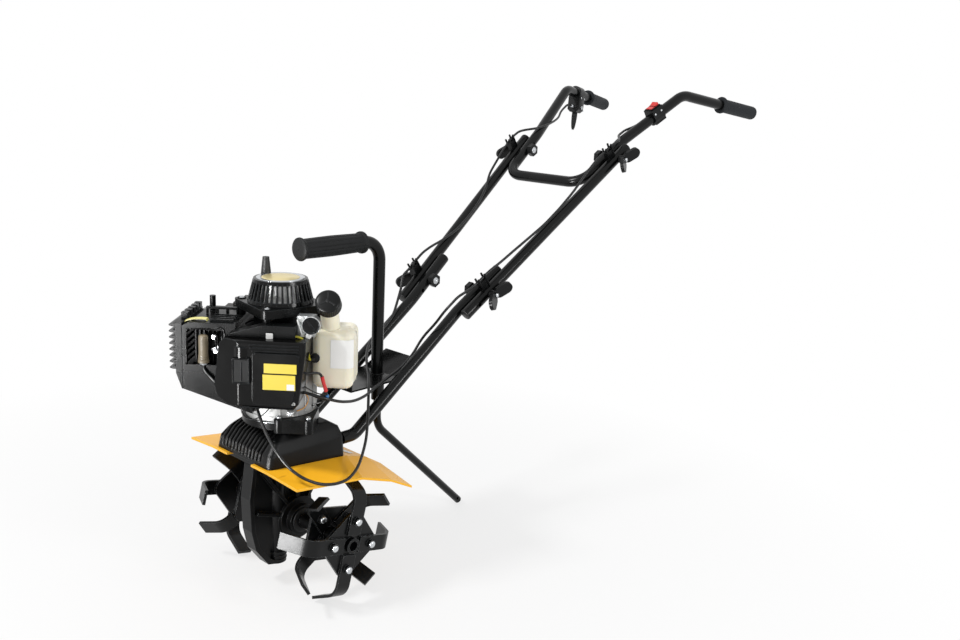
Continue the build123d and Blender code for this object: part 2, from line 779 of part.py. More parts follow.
# Fold bolt across the two tubes of one lap, on the left side
def make_fold_bolt(along, inner_tube_y, outer_tube_y):
    x, _, z = on_handle(along, 0)
    inner = inner_tube_y - tube_r / splay_cos - hex_cap_d / 2 * splay - seat_gap
    outer = outer_tube_y + tube_r / splay_cos + wing_hub_d / 2 * splay + seat_gap
    bolt = rod((x, inner - hex_cap_t, z), (x, outer + wing_hub_t, z), bolt_d)
    cap = extrude(RegularPolygon(hex_cap_d / 2, hex_sides), amount=hex_cap_t)
    bolt += Plane(origin=(x, inner, z), z_dir=(0, -1, 0)) * cap
    bolt += rod((x, outer, z), (x, outer + wing_hub_t, z), wing_hub_d)
    lobe = extrude(SlotOverall(wing_lobe_length, wing_lobe_width), amount=wing_lobe_t / 2, both=True)
    hub = Pos(x, outer + wing_hub_t, z) * Rot(0, handle_angle, 0)
    for side in (0, 180):
        bolt += hub * Rot(0, side, 0) * Rot(0, 0, wing_tilt) * Pos(wing_lobe_centre, -wing_lobe_t / 2, 0) * Rot(
            90, 0, 0) * lobe
    return bolt


def drilled(solid, along, y0, y1, diameter):
    x, _, z = on_handle(along, 0)
    return solid - rod((x, y0, z), (x, y1, z), diameter)


def add_handlebar():
    far = 2 * mid_y
    lower = make_frame_tube()
    lower = drilled(lower, 0.0, 0, far, bolt_d + 2 * pin_fit)
    lower = drilled(lower, spare_hole_lower, 0, far, spare_hole_d)
    mid = make_mid_tube()
    mid = drilled(mid, 0.0, 0, far, bolt_d + 2 * pin_fit)
    mid = drilled(mid, pivot_spacing, 0, far, bolt_d + 2 * pin_fit)
    for along in (spare_hole_lower, spare_hole_upper):
        mid = drilled(mid, along, 0, far, spare_hole_d)
    upper = make_upper_handle()
    upper = drilled(upper, pivot_spacing, -far, far, bolt_d + 2 * pin_fit)
    upper = drilled(upper, spare_hole_upper, -far, far, spare_hole_d)
    add("frame_tube_left", lower)
    add("frame_tube_right", mirrored(lower))
    add("mid_tube_left", mid)
    add("mid_tube_right", mirrored(mid))
    add("upper_handle", upper)
    bolt = make_fold_bolt(0.0, pivot_y, mid_y)
    add("fold_bolts_lower", bolt, mirrored(bolt))
    bolt = make_fold_bolt(pivot_spacing, leg_y(pivot_spacing), mid_tube_y(pivot_spacing))
    add("fold_bolts_upper", bolt, mirrored(bolt))
    clips = [make_clip(along) for along in clip_places]
    add("cable_clips", *clips, *[mirrored(clip) for clip in clips])


# Saddle clip on top of a middle tube, with two prongs beside the cable
def make_clip(along):
    seat = tube_r + seat_gap
    y = mid_tube_y(along)
    turn = Location(on_handle(along, y), (0, handle_angle, 0)) * Rot(0, 0, -handle_splay)
    clip = slab(-clip_length / 2, clip_length / 2, -clip_width / 2, clip_width / 2, seat, seat + clip_height)
    for end in (-1, 1):
        for side in (-1, 1):
            x = end * (clip_length - clip_prong_t) / 2
            prong_y = side * (cable_d + clip_prong_t + 2 * seat_gap) / 2
            clip += slab(x - clip_prong_t / 2, x + clip_prong_t / 2, prong_y - clip_prong_t / 2,
                         prong_y + clip_prong_t / 2, seat, seat + clip_prong_height)
    return turn * clip


def grip_solid(end, inward, diameter, length, bore_d):
    """Rubber grip pushed over a tube end: two flanges and a closed outer end."""
    tip = Vector(*end)
    direction = (Vector(*inward) - tip).normalized()
    body = rod(tuple(tip - direction * grip_cap_t), tuple(tip + direction * (length - grip_cap_t)), diameter)
    for at in (-grip_cap_t, length - grip_cap_t - grip_flange_t):
        body += rod(tuple(tip + direction * at), tuple(tip + direction * (at + grip_flange_t)),
                    diameter + grip_flange_d - grip_d)
    body -= rod(tuple(tip), tuple(tip + direction * (length + overrun)), bore_d)
    return body


def add_grips():
    end = (grip_end_x, grip_end_y, grip_end_z)
    bend = (grip_bend_x, grip_bend_y, grip_bend_z)
    grip = grip_solid(end, bend, grip_d, grip_length, tube_d)
    add("grip_left", grip)
    add("grip_right", mirrored(grip))
    carry_end = (carry_front_x - grip_cap_t, 0, carry_top_z)
    add("carry_grip", grip_solid(carry_end, (carry_x, 0, carry_top_z), carry_grip_d, carry_grip_length, tube_d))


def across_tube(start, end, share):
    """Plane across a straight tube, with its X pointing up as far as the tube allows."""
    axis = (Vector(*end) - Vector(*start)).normalized()
    up = Vector(0, 0, 1)
    return Plane(origin=Vector(*start) + (Vector(*end) - Vector(*start)) * share,
                 x_dir=up - axis * up.dot(axis), z_dir=axis)


# Stop switch: a clamped housing on the left leg with a red rocker on top
def add_switch():
    plane = across_tube(leg_corner(), (grip_bend_x, grip_bend_y, grip_bend_z), switch_share)
    half = switch_length / 2
    box = Cylinder(switch_collar_d / 2, switch_length)
    box += slab(-switch_below, switch_height, -switch_width / 2, switch_width / 2, -half, half)
    box -= Cylinder(tube_r + seat_gap, switch_length + overrun)
    add("stop_switch", plane * box)
    seat = switch_height + seat_gap
    profile = [(seat, -rocker_length / 2), (seat, rocker_length / 2), (seat + rocker_high, rocker_length / 2),
               (seat + rocker_low, 0), (seat + rocker_low, -rocker_length / 2)]
    add("stop_rocker", plane * side_profile(profile, -rocker_width / 2, rocker_width / 2))


# Throttle: a housing that hangs below the right grip tube, with a thumb lever
def add_throttle():
    plane = across_tube((grip_bend_x, -grip_bend_y, grip_bend_z), (grip_end_x, -grip_end_y, grip_end_z),
                        throttle_share)
    half = throttle_length / 2
    box = Cylinder(throttle_collar_d / 2, throttle_length)
    box += slab(-throttle_drop, 0, -throttle_width / 2, throttle_width / 2, -half, half)
    box -= Cylinder(tube_r + seat_gap, throttle_length + overrun)
    lever = slab(-throttle_drop - seat_gap - lever_length, -throttle_drop - seat_gap, -lever_width / 2,
                 lever_width / 2, -lever_t / 2, lever_t / 2)
    add("throttle_control", plane * box, plane * lever)


def make_carry_handle():
    points = [(carry_x, 0, saddle_floor_z + seat_gap), (carry_x, 0, carry_top_z),
              (carry_front_x - grip_cap_t, 0, carry_top_z)]
    return tube(points, [carry_bend_radius], tube_d, tube_bore)


# Saddle plate, welded with the socket of the stake and its gusset
def make_saddle():
    t = plate_sheet_t
    inside = [(saddle_lip_x, saddle_lip_top), (saddle_lip_x, saddle_floor_z), (saddle_rise_x, saddle_floor_z),
              (saddle_rear_x, saddle_rear_z)]
    outside = [(saddle_rear_x + saddle_rear_skew, saddle_rear_z - t),
               (saddle_rise_x - saddle_rear_skew, saddle_floor_z - t), (saddle_lip_x + t, saddle_floor_z - t),
               (saddle_lip_x + t, saddle_lip_top)]
    half = frame_half_width - tube_r
    plate = side_profile(inside + outside, -half, half)
    under = saddle_floor_z - t
    gusset = [(stake_x, under), (stake_x + gusset_length, under), (stake_x, under - gusset_height)]
    plate += post(stake_x, 0, stake_socket_bottom, under, stake_socket_d / 2)
    plate += side_profile(gusset, -gusset_t / 2, gusset_t / 2)
    return plate - post(stake_x, 0, stake_socket_bottom - overrun, under, stake_d / 2 + pin_fit)


def make_stake(ground_z):
    slope = radians(stake_slope)
    low = ground_z + stake_d / 2 * cos(slope)
    end_x = stake_x - (stake_elbow_z - low) / tan(slope)
    top = (stake_x, 0, saddle_floor_z - plate_sheet_t - seat_gap)
    stake = tube([top, (stake_x, 0, stake_elbow_z), (end_x, 0, low)], [stake_bend_radius], stake_d)
    hole_x = end_x + stake_hole_inset * cos(slope)
    hole_z = low + stake_hole_inset * sin(slope)
    return stake - rod((hole_x, -stake_d, hole_z), (hole_x, stake_d, hole_z), stake_hole_d)


# Held cables, one run on each body, with the stretch across each fold left to bend
def mid_route(corners, side):
    return [on_handle(along, side * (mid_tube_y(along) - inwards), height) for along, height, inwards in corners]


def leg_route(shares, offsets, side):
    x, y, z = leg_corner()
    start = (x, side * y, z)
    end = (grip_bend_x, side * grip_bend_y, grip_bend_z)
    return [tuple(across_tube(start, end, share).from_local_coords((height, -side * inwards, 0)))
            for share, (height, inwards) in zip(shares, offsets)]


def throttle_entry(back):
    plane = across_tube((grip_bend_x, -grip_bend_y, grip_bend_z), (grip_end_x, -grip_end_y, grip_end_z),
                        throttle_share)
    return tuple(plane.from_local_coords((-throttle_entry_drop, 0, -throttle_length / 2 - seat_gap - back)))


def add_cables():
    add("lead_on_frame", cable(lead_on_frame))
    add("throttle_on_frame", cable(throttle_on_frame))
    add("lead_on_middle", cable(mid_route(lead_on_mid, 1)))
    add("throttle_on_middle", cable(mid_route(throttle_on_mid, -1)))
    add("lead_on_handle", cable(leg_route(lead_leg_shares, lead_leg_offsets, 1)))
    throttle = leg_route(throttle_leg_shares, throttle_leg_offsets, -1)
    add("throttle_on_handle", cable(throttle + [throttle_entry(throttle_entry_run), throttle_entry(0)]))


def build():
    add("gear_case", make_gear_case())
    add_rotors()
    add("deck", make_deck())
    add("gear_cover", make_gear_cover())
    add("clutch_housing", make_clutch_housing())
    add("crankcase", make_crankcase())
    add("cylinder", make_cylinder())
    add("cylinder_shroud", make_shroud())
    add("shroud_grille", make_grille())
    add("spark_plug_boot", make_boot())
    add("muffler", make_muffler())
    add("starter_flange", make_starter_flange())
    add("starter_dome", make_starter_dome())
    add("starter_grip", make_starter_grip())
    add("air_filter_box", make_filter_box())
    add("carburettor", make_carb())
    add("intake_duct", make_duct())
    add("fuel_tank", make_tank())
    add("fuel_cap", make_fuel_cap())
    add_handlebar()
    add_grips()
    add_switch()
    add_throttle()
    add("saddle_plate", make_saddle())
    add("carry_handle", make_carry_handle())
    ground_z = min(nodes[n].bounding_box().min.Z for n in nodes if n.startswith("rotor"))
    add("drag_stake", make_stake(ground_z))
    add_cables()
    return ground_z


ground = build()
os.makedirs("parts", exist_ok=True)
for node_name, node_solid in nodes.items():
    export_step(Pos(0, 0, -ground) * node_solid, f"parts/{node_name}.step")
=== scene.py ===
import math

import bmesh
import bpy
from mathutils import Matrix, Vector


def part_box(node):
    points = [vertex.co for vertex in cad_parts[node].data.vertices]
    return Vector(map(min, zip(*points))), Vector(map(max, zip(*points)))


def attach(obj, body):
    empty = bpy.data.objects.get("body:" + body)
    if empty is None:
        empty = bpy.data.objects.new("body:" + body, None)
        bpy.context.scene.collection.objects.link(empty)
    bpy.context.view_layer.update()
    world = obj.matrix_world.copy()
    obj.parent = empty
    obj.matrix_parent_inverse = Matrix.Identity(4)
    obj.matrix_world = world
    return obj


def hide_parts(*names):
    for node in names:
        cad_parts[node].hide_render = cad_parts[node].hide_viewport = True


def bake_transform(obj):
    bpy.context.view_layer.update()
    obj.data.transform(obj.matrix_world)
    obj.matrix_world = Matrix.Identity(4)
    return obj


# Mini tiller: an upright two-stroke engine on a worm gear case, two pairs of tine rotors and a
# folding handlebar. The rigid parts come packed; here they get their finishes and small fittings.
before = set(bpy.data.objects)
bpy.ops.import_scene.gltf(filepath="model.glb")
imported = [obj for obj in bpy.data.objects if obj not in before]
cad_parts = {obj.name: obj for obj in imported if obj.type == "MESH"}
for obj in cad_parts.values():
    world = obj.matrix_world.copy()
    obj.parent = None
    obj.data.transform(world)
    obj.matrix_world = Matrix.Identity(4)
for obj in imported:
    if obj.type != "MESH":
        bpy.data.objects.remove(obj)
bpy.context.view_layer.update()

# Camera: a 35 mm lens at the machine's front left, a little above its handlebar, rolled by
# nearly three degrees as it was held. Its view runs along the turn and lift given here.
camera_place = (0.94626, 1.25132, 0.86194)
camera_turn = math.radians(48.66)
camera_lift = math.radians(13.89)
camera_roll = math.radians(2.88)
camera = bpy.data.objects.new("camera", bpy.data.cameras.new("camera"))
bpy.context.scene.collection.objects.link(camera)
bpy.context.scene.camera = camera
camera.data.sensor_width = 36.0
camera.data.lens = 35.44
camera.data.clip_start = 0.05
back = Vector((math.sin(camera_turn) * math.cos(camera_lift), math.cos(camera_turn) * math.cos(camera_lift),
               math.sin(camera_lift)))
right = Vector((0, 0, 1)).cross(back).normalized()
up = back.cross(right)
camera_x = right * math.cos(camera_roll) + up * math.sin(camera_roll)
camera_y = up * math.cos(camera_roll) - right * math.sin(camera_roll)
camera_turned = Matrix((camera_x, camera_y, back)).transposed().to_4x4()
camera.matrix_world = Matrix.Translation(camera_place) @ camera_turned

# Studio: a white paper floor that keeps a soft shadow near the machine and turns pure white away
# from it, and white all round for the eye and for gloss. A high soft box and a low one light it.
# A strip near the floor is seen by gloss only, as the highlights down the upright covers.
floor_half = 9
shadow_near, shadow_far = 0.45, 1.25
white_in_shadow_share = 0.7
fill_strength = 0.62
lamps = (("soft_box_high", (1.5, -0.5, 2.3), (-0.1, 0, 0.4), 0.42, 0.3, 42),
         ("soft_box_low", (-0.6, 2.4, 1.1), (-0.3, 0, 0.5), 0.7, 0.25, 18),
         ("gloss_strip", (1.15, 0.14, 0.26), (0, 0, 0.4), 0.24, 0.5, 33))


def colour(code):
    """Linear colour of an sRGB hex code."""
    parts = [int(code[k:k + 2], 16) / 255 for k in (1, 3, 5)]
    return [c / 12.92 if c <= 0.04045 else ((c + 0.055) / 1.055) ** 2.4 for c in parts] + [1.0]


def add(tree, kind, inputs=None, **settings):
    """Adds a shader node with its settings, and sets or links its inputs."""
    made = tree.nodes.new("ShaderNode" + kind)
    for name, value in settings.items():
        setattr(made, name, value)
    for name, value in (inputs or {}).items():
        if isinstance(value, bpy.types.NodeSocket):
            tree.links.new(value, made.inputs[name])
        else:
            made.inputs[name].default_value = value
    return made


def seen_by_eye(tree):
    """One for the camera's rays, through clear things and off gloss too, and zero for plain light."""
    rays = add(tree, "LightPath").outputs
    eye = add(tree, "Math", {0: rays["Is Camera Ray"], 1: rays["Is Transmission Ray"]}, operation="MAXIMUM")
    with_gloss = {0: eye.outputs[0], 1: rays["Is Glossy Ray"]}
    return add(tree, "Math", with_gloss, operation="MAXIMUM").outputs[0]


floor = bpy.data.objects.new("floor", bpy.data.meshes.new("floor"))
floor_corners = [(sx * floor_half, sy * floor_half, 0) for sx, sy in ((-1, -1), (1, -1), (1, 1), (-1, 1))]
floor.data.from_pydata(floor_corners, [], [(0, 1, 2, 3)])
bpy.context.scene.collection.objects.link(floor)
paper = bpy.data.materials.new("white_paper")
paper.use_nodes = True
tree = paper.node_tree
matt = add(tree, "BsdfDiffuse", {"Color": colour("#E6E6E6")}).outputs[0]
glow = add(tree, "Emission", {"Color": colour("#FFFFFF"), "Strength": 1.0}).outputs[0]
place = add(tree, "TexCoord").outputs["Object"]
away = add(tree, "VectorMath", {0: place}, operation="LENGTH").outputs["Value"]
whiteness = add(tree, "MapRange", {"Value": away, "From Min": shadow_near, "From Max": shadow_far,
                                   "To Min": white_in_shadow_share, "To Max": 1.0}).outputs[0]
seen = add(tree, "Math", {0: seen_by_eye(tree), 1: whiteness}, operation="MULTIPLY").outputs[0]
surface = add(tree, "MixShader", {0: seen, 1: matt, 2: glow}).outputs[0]
tree.links.new(surface, tree.nodes["Material Output"].inputs["Surface"])
floor.data.materials.append(paper)

world = bpy.data.worlds.new("studio")
world.use_nodes = True
bpy.context.scene.world = world
tree = world.node_tree
dim = add(tree, "Background", {"Color": colour("#FFFFFF"), "Strength": fill_strength}).outputs[0]
white = add(tree, "Background", {"Color": colour("#FFFFFF"), "Strength": 1.0}).outputs[0]
surface = add(tree, "MixShader", {0: seen_by_eye(tree), 1: dim, 2: white}).outputs[0]
tree.links.new(surface, tree.nodes["World Output"].inputs["Surface"])

for name, place, aim, width, height, power in lamps:
    lamp = bpy.data.lights.new(name, "AREA")
    lamp.shape = "RECTANGLE"
    lamp.size = width
    lamp.size_y = height
    lamp.energy = power
    soft_box = bpy.data.objects.new(name, lamp)
    bpy.context.scene.collection.objects.link(soft_box)
    soft_box.location = place
    soft_box.rotation_mode = "QUATERNION"
    soft_box.rotation_quaternion = (Vector(aim) - Vector(place)).to_track_quat("-Z", "Y")
    soft_box.visible_diffuse = name != "gloss_strip"
bpy.context.scene.view_settings.view_transform = "Standard"

# Frame, handlebar, carry handle, saddle plate and stake: 22 mm steel tube and sheet, powder
# coated black. The coat is smooth and half glossy, with a faint orange peel about 1.5 mm across.
sheen_spread = 0.06
# The paler edges that finish paints, worn paint on some finishes and a painted highlight on others, come in
# patches about 6 mm across and turn on between the two limits of the edge mask below.
edge_patch_mm = 6.25
worn_and_highlit_low, worn_and_highlit_high = 0.86, 0.99


def finish(name, tint, shade, rough, grain_mm, grain_depth_mm, edge_mm, metal=0.0, gloss=0.5,
           edge_wear_and_highlight_tint=None, edge_rough=0.4, patch_mm=60.0):
    """A real surface: slow changes of tone, a grain of its true size, and edges rounded to edge_mm.

    The edge tint is painted on the edges: worn paint on some finishes, and on others a painted highlight
    standing for light caught by the edge. Returns the material, its tree and shader."""
    made = bpy.data.materials.new(name)
    made.use_nodes = True
    tree = made.node_tree
    shader = tree.nodes["Principled BSDF"]
    place = add(tree, "TexCoord").outputs["Object"]
    patches = add(tree, "TexNoise", {"Vector": place, "Scale": 1000 / patch_mm, "Detail": 4.0}).outputs[0]
    grain = add(tree, "TexNoise", {"Vector": place, "Scale": 1000 / grain_mm, "Detail": 3.0}).outputs[0]
    base = add(tree, "Mix", {0: patches, 6: colour(tint), 7: colour(shade)}, data_type="RGBA").outputs[2]
    sheen = add(tree, "MapRange", {"Value": patches, "From Min": 0.3, "From Max": 0.7,
                                   "To Min": rough - sheen_spread, "To Max": rough + sheen_spread}).outputs[0]
    rounded = add(tree, "Bevel", {"Radius": edge_mm / 1000}, samples=4).outputs[0]
    # Paler edges: worn paint where the finish wears, a painted highlight where they stand for light caught on
    # the edge.
    if edge_wear_and_highlight_tint:
        flat = add(tree, "NewGeometry").outputs["Normal"]
        turned = add(tree, "VectorMath", {0: rounded, 1: flat}, operation="DOT_PRODUCT").outputs["Value"]
        edge_patches = add(tree, "TexNoise", {"Vector": place, "Scale": 1000 / edge_patch_mm, "Detail": 6.0}).outputs[0]
        limit = add(tree, "MapRange", {"Value": edge_patches, "From Min": 0.35, "From Max": 0.65,
                                       "To Min": worn_and_highlit_low, "To Max": worn_and_highlit_high}).outputs[0]
        worn_and_highlit = add(tree, "Math", {0: turned, 1: limit}, operation="LESS_THAN").outputs[0]
        base = add(tree, "Mix", {0: worn_and_highlit, 6: base, 7: colour(edge_wear_and_highlight_tint)}, data_type="RGBA").outputs[2]
        sheen = add(tree, "Mix", {0: worn_and_highlit, 2: sheen, 3: edge_rough}, data_type="FLOAT").outputs[0]
    bump = add(tree, "Bump", {"Height": grain, "Distance": grain_depth_mm / 1000, "Strength": 1.0,
                              "Normal": rounded}).outputs[0]
    tree.links.new(base, shader.inputs["Base Color"])
    tree.links.new(sheen, shader.inputs["Roughness"])
    tree.links.new(bump, shader.inputs["Normal"])
    shader.inputs["Metallic"].default_value = metal
    shader.inputs["Specular IOR Level"].default_value = gloss
    return made, tree, shader


def dress(material, *names):
    """Gives CAD nodes a finish."""
    for name in names:
        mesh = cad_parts[name].data
        mesh.materials.clear()
        mesh.materials.append(material)


powder_coat = finish("powder_coated_steel", "#050606", "#090A0A", rough=0.24, grain_mm=1.5,
                     grain_depth_mm=0.012, edge_mm=0.8, gloss=0.2)[0]
dress(powder_coat, "frame_tube_left", "frame_tube_right", "mid_tube_left", "mid_tube_right", "upper_handle",
      "carry_handle", "saddle_plate", "drag_stake")

# Plugs in the open ends of the tubes: moulded polyethylene, pushed in. They are duller and a
# shade greyer than the powder coat round them. Places are in mm from the middle of the tine axle.
axle_z = (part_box("tine_shaft")[0].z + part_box("tine_shaft")[1].z) / 2
millimetres = Matrix.Translation((0, 0, axle_z)) @ Matrix.Scale(0.001, 4)
fold_x, fold_z = -387, 367
handle_slope = math.radians(36.3)
splay = math.tan(math.radians(5.5))
lower_fold_along, upper_fold_along = 0, 422
frame_tube_y, frame_bend_along, frame_tube_end = 62, -60, 62
mid_tube_y, mid_tube_low_end, mid_tube_high_end = 91.89, -62, 458
plug_profile = [(0, -2), (9.2, -2), (9.2, 0.1), (10.6, 0.1), (10.6, 1.6), (9.4, 2.6), (0, 2.8)]


def on_handle(along, y, height=0.0):
    """A point along the folded line of the handlebar."""
    return Vector((fold_x - along * math.cos(handle_slope) + height * math.sin(handle_slope), y,
                   fold_z + along * math.sin(handle_slope) + height * math.cos(handle_slope)))


def pointing(place, direction, spin=0.0):
    """Place for a piece made along +Z."""
    turned = Vector(direction).to_track_quat("Z", "X").to_matrix().to_4x4()
    return Matrix.Translation(place) @ turned @ Matrix.Rotation(spin, 4, "Z")


def add_turned(bm, at, profile, sides=40, smooth=True):
    """Adds a closed turned form: radius and height of its profile from the axis round to the axis."""
    rings = []
    for radius, height in profile:
        if radius == 0:
            rings.append([bm.verts.new(at @ Vector((0, 0, height)))])
        else:
            angles = [2 * math.pi * k / sides for k in range(sides)]
            rings.append([bm.verts.new(at @ Vector((radius * math.cos(a), radius * math.sin(a), height)))
                          for a in angles])
    for low, high in zip(rings, rings[1:]):
        for k in range(sides):
            corners = [low[k % len(low)], low[(k + 1) % len(low)], high[(k + 1) % len(high)],
                       high[k % len(high)]]
            face = bm.faces.new(list(dict.fromkeys(corners)))
            face.smooth = smooth


def make_piece(name, bm, material, place=None, crease=None):
    """Turns gathered faces into an object. Edges turning by more than crease degrees stay sharp."""
    mesh = bpy.data.meshes.new(name)
    bmesh.ops.recalc_face_normals(bm, faces=bm.faces)
    if crease:
        for edge in bm.edges:
            edge.smooth = len(edge.link_faces) == 2 and edge.calc_face_angle() < math.radians(crease)
        for face in bm.faces:
            face.smooth = True
    bm.to_mesh(mesh)
    bm.free()
    mesh.transform(place or millimetres)
    mesh.materials.append(material)
    made = bpy.data.objects.new(name, mesh)
    bpy.context.scene.collection.objects.link(made)
    return made


def keep(name, bm, material, body, place=None, crease=None, instead_of=None):
    """Makes a piece that rides on a body, or one that also takes a CAD node's place."""
    made = make_piece(name, bm, material, place, crease)
    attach(made, body)
    if instead_of:
        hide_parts(instead_of)
    return made


plug_plastic = finish("moulded_polyethylene", "#141516", "#1B1C1E", rough=0.48, grain_mm=0.8,
                      grain_depth_mm=0.02, edge_mm=0.6)[0]
for name, body, along, tube_y, bend_along, way in (
        ("frame_tube_plugs", "chassis", frame_tube_end, frame_tube_y, frame_bend_along, 1),
        ("mid_tube_low_plugs", "middle_handle", mid_tube_low_end, mid_tube_y, 0, -1),
        ("mid_tube_high_plugs", "middle_handle", mid_tube_high_end, mid_tube_y, 0, 1)):
    bm = bmesh.new()
    end_y = tube_y + (along - bend_along) * splay
    for side in (1, -1):
        axis = (on_handle(1, side * splay) - on_handle(0, 0)) * way
        add_turned(bm, pointing(on_handle(along, side * end_y), axis), plug_profile)
    keep(name, bm, plug_plastic, body)

# Fold bolts, cable clips, switch and throttle housings: glass-filled nylon, moulded black. The
# wings and caps are satin, and the bright zinc end of each bolt stands out in their middle.
lower_cap_y, lower_wing_y = 45.08, 116.06
upper_cap_y, upper_wing_y = 85.71, 156.69
bolt_end_profile = [(0, -1), (4.2, -1), (4.2, 3.2), (3.2, 4.4), (0, 4.4)]
cap_end_profile = [(0, -1), (6.8, -1), (6.8, 0.9), (4.4, 1.2), (4.2, 3.0), (0, 3.4)]
nylon = finish("glass_filled_nylon", "#060707", "#0B0C0D", rough=0.33, grain_mm=0.5, grain_depth_mm=0.02,
               edge_mm=0.8, gloss=0.2)[0]
zinc = finish("bright_zinc_plate", "#D6D8DA", "#B4B8BB", rough=0.27, grain_mm=0.6, grain_depth_mm=0.006,
              edge_mm=0.4, metal=1.0)[0]
dress(nylon, "fold_bolts_lower", "fold_bolts_upper", "cable_clips", "stop_switch", "throttle_control")
for name, body, along, inside_y, outside_y in (
        ("fold_bolt_ends_lower", "chassis", lower_fold_along, lower_cap_y, lower_wing_y),
        ("fold_bolt_ends_upper", "middle_handle", upper_fold_along, upper_cap_y, upper_wing_y)):
    bm = bmesh.new()
    for side in (1, -1):
        add_turned(bm, pointing(on_handle(along, side * outside_y), (0, side, 0)), bolt_end_profile, 20)
        add_turned(bm, pointing(on_handle(along, side * inside_y), (0, -side, 0)), cap_end_profile, 20)
    keep(name, bm, zinc, body)

# Grips: black rubber pushed over the tubes, dull enough to show no highlights. The hand grips are
# foamed, plain sleeves with a guard ring at the inner end and a rounded tip. The carry grip is
# moulded, swells in the middle and has fourteen grooves along it.
grip_tip_x, grip_tip_y, grip_tip_z = -1161, 209, 719
grip_bend_x, grip_bend_y, grip_bend_z = -930, 158, 752
grip_tip_cover = 5
hand_grip_profile = [(0, 0), (8, 0.1), (12, 1.0), (14.4, 3.4), (15, 6.5), (15, 110.5), (15.6, 111.5),
                     (18.2, 112.2), (18.5, 113), (18.5, 116.2), (17.8, 117), (12.4, 117), (11.2, 116.6),
                     (0, 116.6)]
carry_grip_front = (-12, 0, 472)
carry_grip_flutes = 14
carry_grip_profile = [(1.2, 1.2, 0), (1.5, 0.2, 0), (12, 0, 0), (18.3, 0.5, 0), (19.8, 2, 0), (20, 4, 0),
                      (19.2, 6, 0), (17.2, 7, 0), (16.9, 9, 0.2), (17, 13, 1.1), (17.6, 45, 1.2),
                      (17.9, 70, 1.2), (17.5, 98, 1.2), (16.9, 127, 1.1), (16.8, 131, 0.2), (17.2, 133, 0),
                      (19.3, 134, 0), (19.8, 136, 0), (19.5, 139, 0), (17.5, 141, 0), (11.2, 142, 0)]


def add_fluted(bm, at, profile, flutes, points=8):
    """Adds a turned form with grooves along it: radius, height and groove depth of its profile."""
    sides = flutes * points
    rings = []
    for radius, height, depth in profile:
        ring = []
        for k in range(sides):
            a = 2 * math.pi * k / sides
            r = radius - depth * max(0.0, math.cos(flutes * a)) ** 2
            ring.append(bm.verts.new(at @ Vector((r * math.cos(a), r * math.sin(a), height))))
        rings.append(ring)
    for low, high in zip(rings, rings[1:]):
        for k in range(sides):
            j = (k + 1) % sides
            bm.faces.new([low[k], low[j], high[j], high[k]]).smooth = True
    bm.faces.new(rings[0][::-1])
    bm.faces.new(rings[-1])


rubber = finish("moulded_rubber", "#0E0F10", "#141617", rough=0.6, grain_mm=0.7, grain_depth_mm=0.05,
                edge_mm=1.2, gloss=0.22)[0]
hand_rubber = finish("foamed_rubber", "#1E2124", "#26292C", rough=0.75, grain_mm=0.9, grain_depth_mm=0.12,
                     edge_mm=1.2, gloss=0.2)[0]
for side, name in ((1, "left"), (-1, "right")):
    tip = Vector((grip_tip_x, side * grip_tip_y, grip_tip_z))
    bend = Vector((grip_bend_x, side * grip_bend_y, grip_bend_z))
    inward = (bend - tip).normalized()
    bm = bmesh.new()
    add_turned(bm, pointing(tip - inward * grip_tip_cover, inward), hand_grip_profile, 64)
    keep("hand_grip_" + name, bm, hand_rubber, "upper_grip_bar", crease=50, instead_of="grip_" + name)
bm = bmesh.new()
add_fluted(bm, pointing(carry_grip_front, (-1, 0, 0)), carry_grip_profile, carry_grip_flutes)
keep("carry_grip_sleeve", bm, rubber, "chassis", crease=60, instead_of="carry_grip")

# Stop switch: a red polycarbonate rocker in two halves, bright and slightly glossy, in a nylon
# bezel with four zinc screws. A gland below takes its lead.
switch_place = (-858.6, 138.1, 705.8)
switch_up, switch_along = (-0.817, 0.228, 0.529), (0.509, -0.142, 0.849)
bezel_low, bezel_high = 19.6, 22.4
bezel_half_width, bezel_half_length = 10.6, 13
bezel_side_wall, bezel_end_wall = 1.8, 1.8
rocker_split = (20.0, 24.1, -8.6, 8.6, -0.7, 0.7)
switch_foot = (-16.5, -12.5, -7, 7, -9, 9)
gland_place, gland_way = (-2, -13, -14), (0, -0.3, -1)
gland_profile = [(0, 0), (4.2, 0), (4.2, 5), (2.7, 9), (0, 9)]
switch_screw_x, switch_screw_y, switch_screw_z = 9, 13.2, 9
switch_screw_profile = [(0, 0), (2.6, 0), (2.2, 1.4), (0, 1.7)]


def add_prism(bm, at, outline, depth, inset=0.0):
    """Adds a flat form with the given outline from height 0 to depth, its top edge chamfered by inset."""
    middle = sum((Vector(p) for p in outline), Vector((0, 0))) / len(outline)
    levels = [(0.0, 0.0), (depth - inset, 0.0)] + ([(depth, inset)] if inset else [])
    rings = []
    for height, shrink in levels:
        ring = []
        for p in outline:
            out = Vector(p) - middle
            p = middle + out * (1 - shrink / out.length)
            ring.append(bm.verts.new(at @ Vector((p.x, p.y, height))))
        rings.append(ring)
    for low, high in zip(rings, rings[1:]):
        for k in range(len(outline)):
            j = (k + 1) % len(outline)
            bm.faces.new([low[k], low[j], high[j], high[k]])
    bm.faces.new(rings[0][::-1])
    bm.faces.new(rings[-1])


def add_block(bm, at, x0, x1, y0, y1, z0, z1):
    """Adds a block between two corners."""
    add_prism(bm, at @ Matrix.Translation((0, 0, z0)), [(x0, y0), (x1, y0), (x1, y1), (x0, y1)], z1 - z0)


def frame_at(origin, x_way, z_way):
    """Place with its own X and Z directions."""
    z = Vector(z_way).normalized()
    x = (Vector(x_way) - z * Vector(x_way).dot(z)).normalized()
    return Matrix.Translation(origin) @ Matrix((x, z.cross(x), z)).transposed().to_4x4()


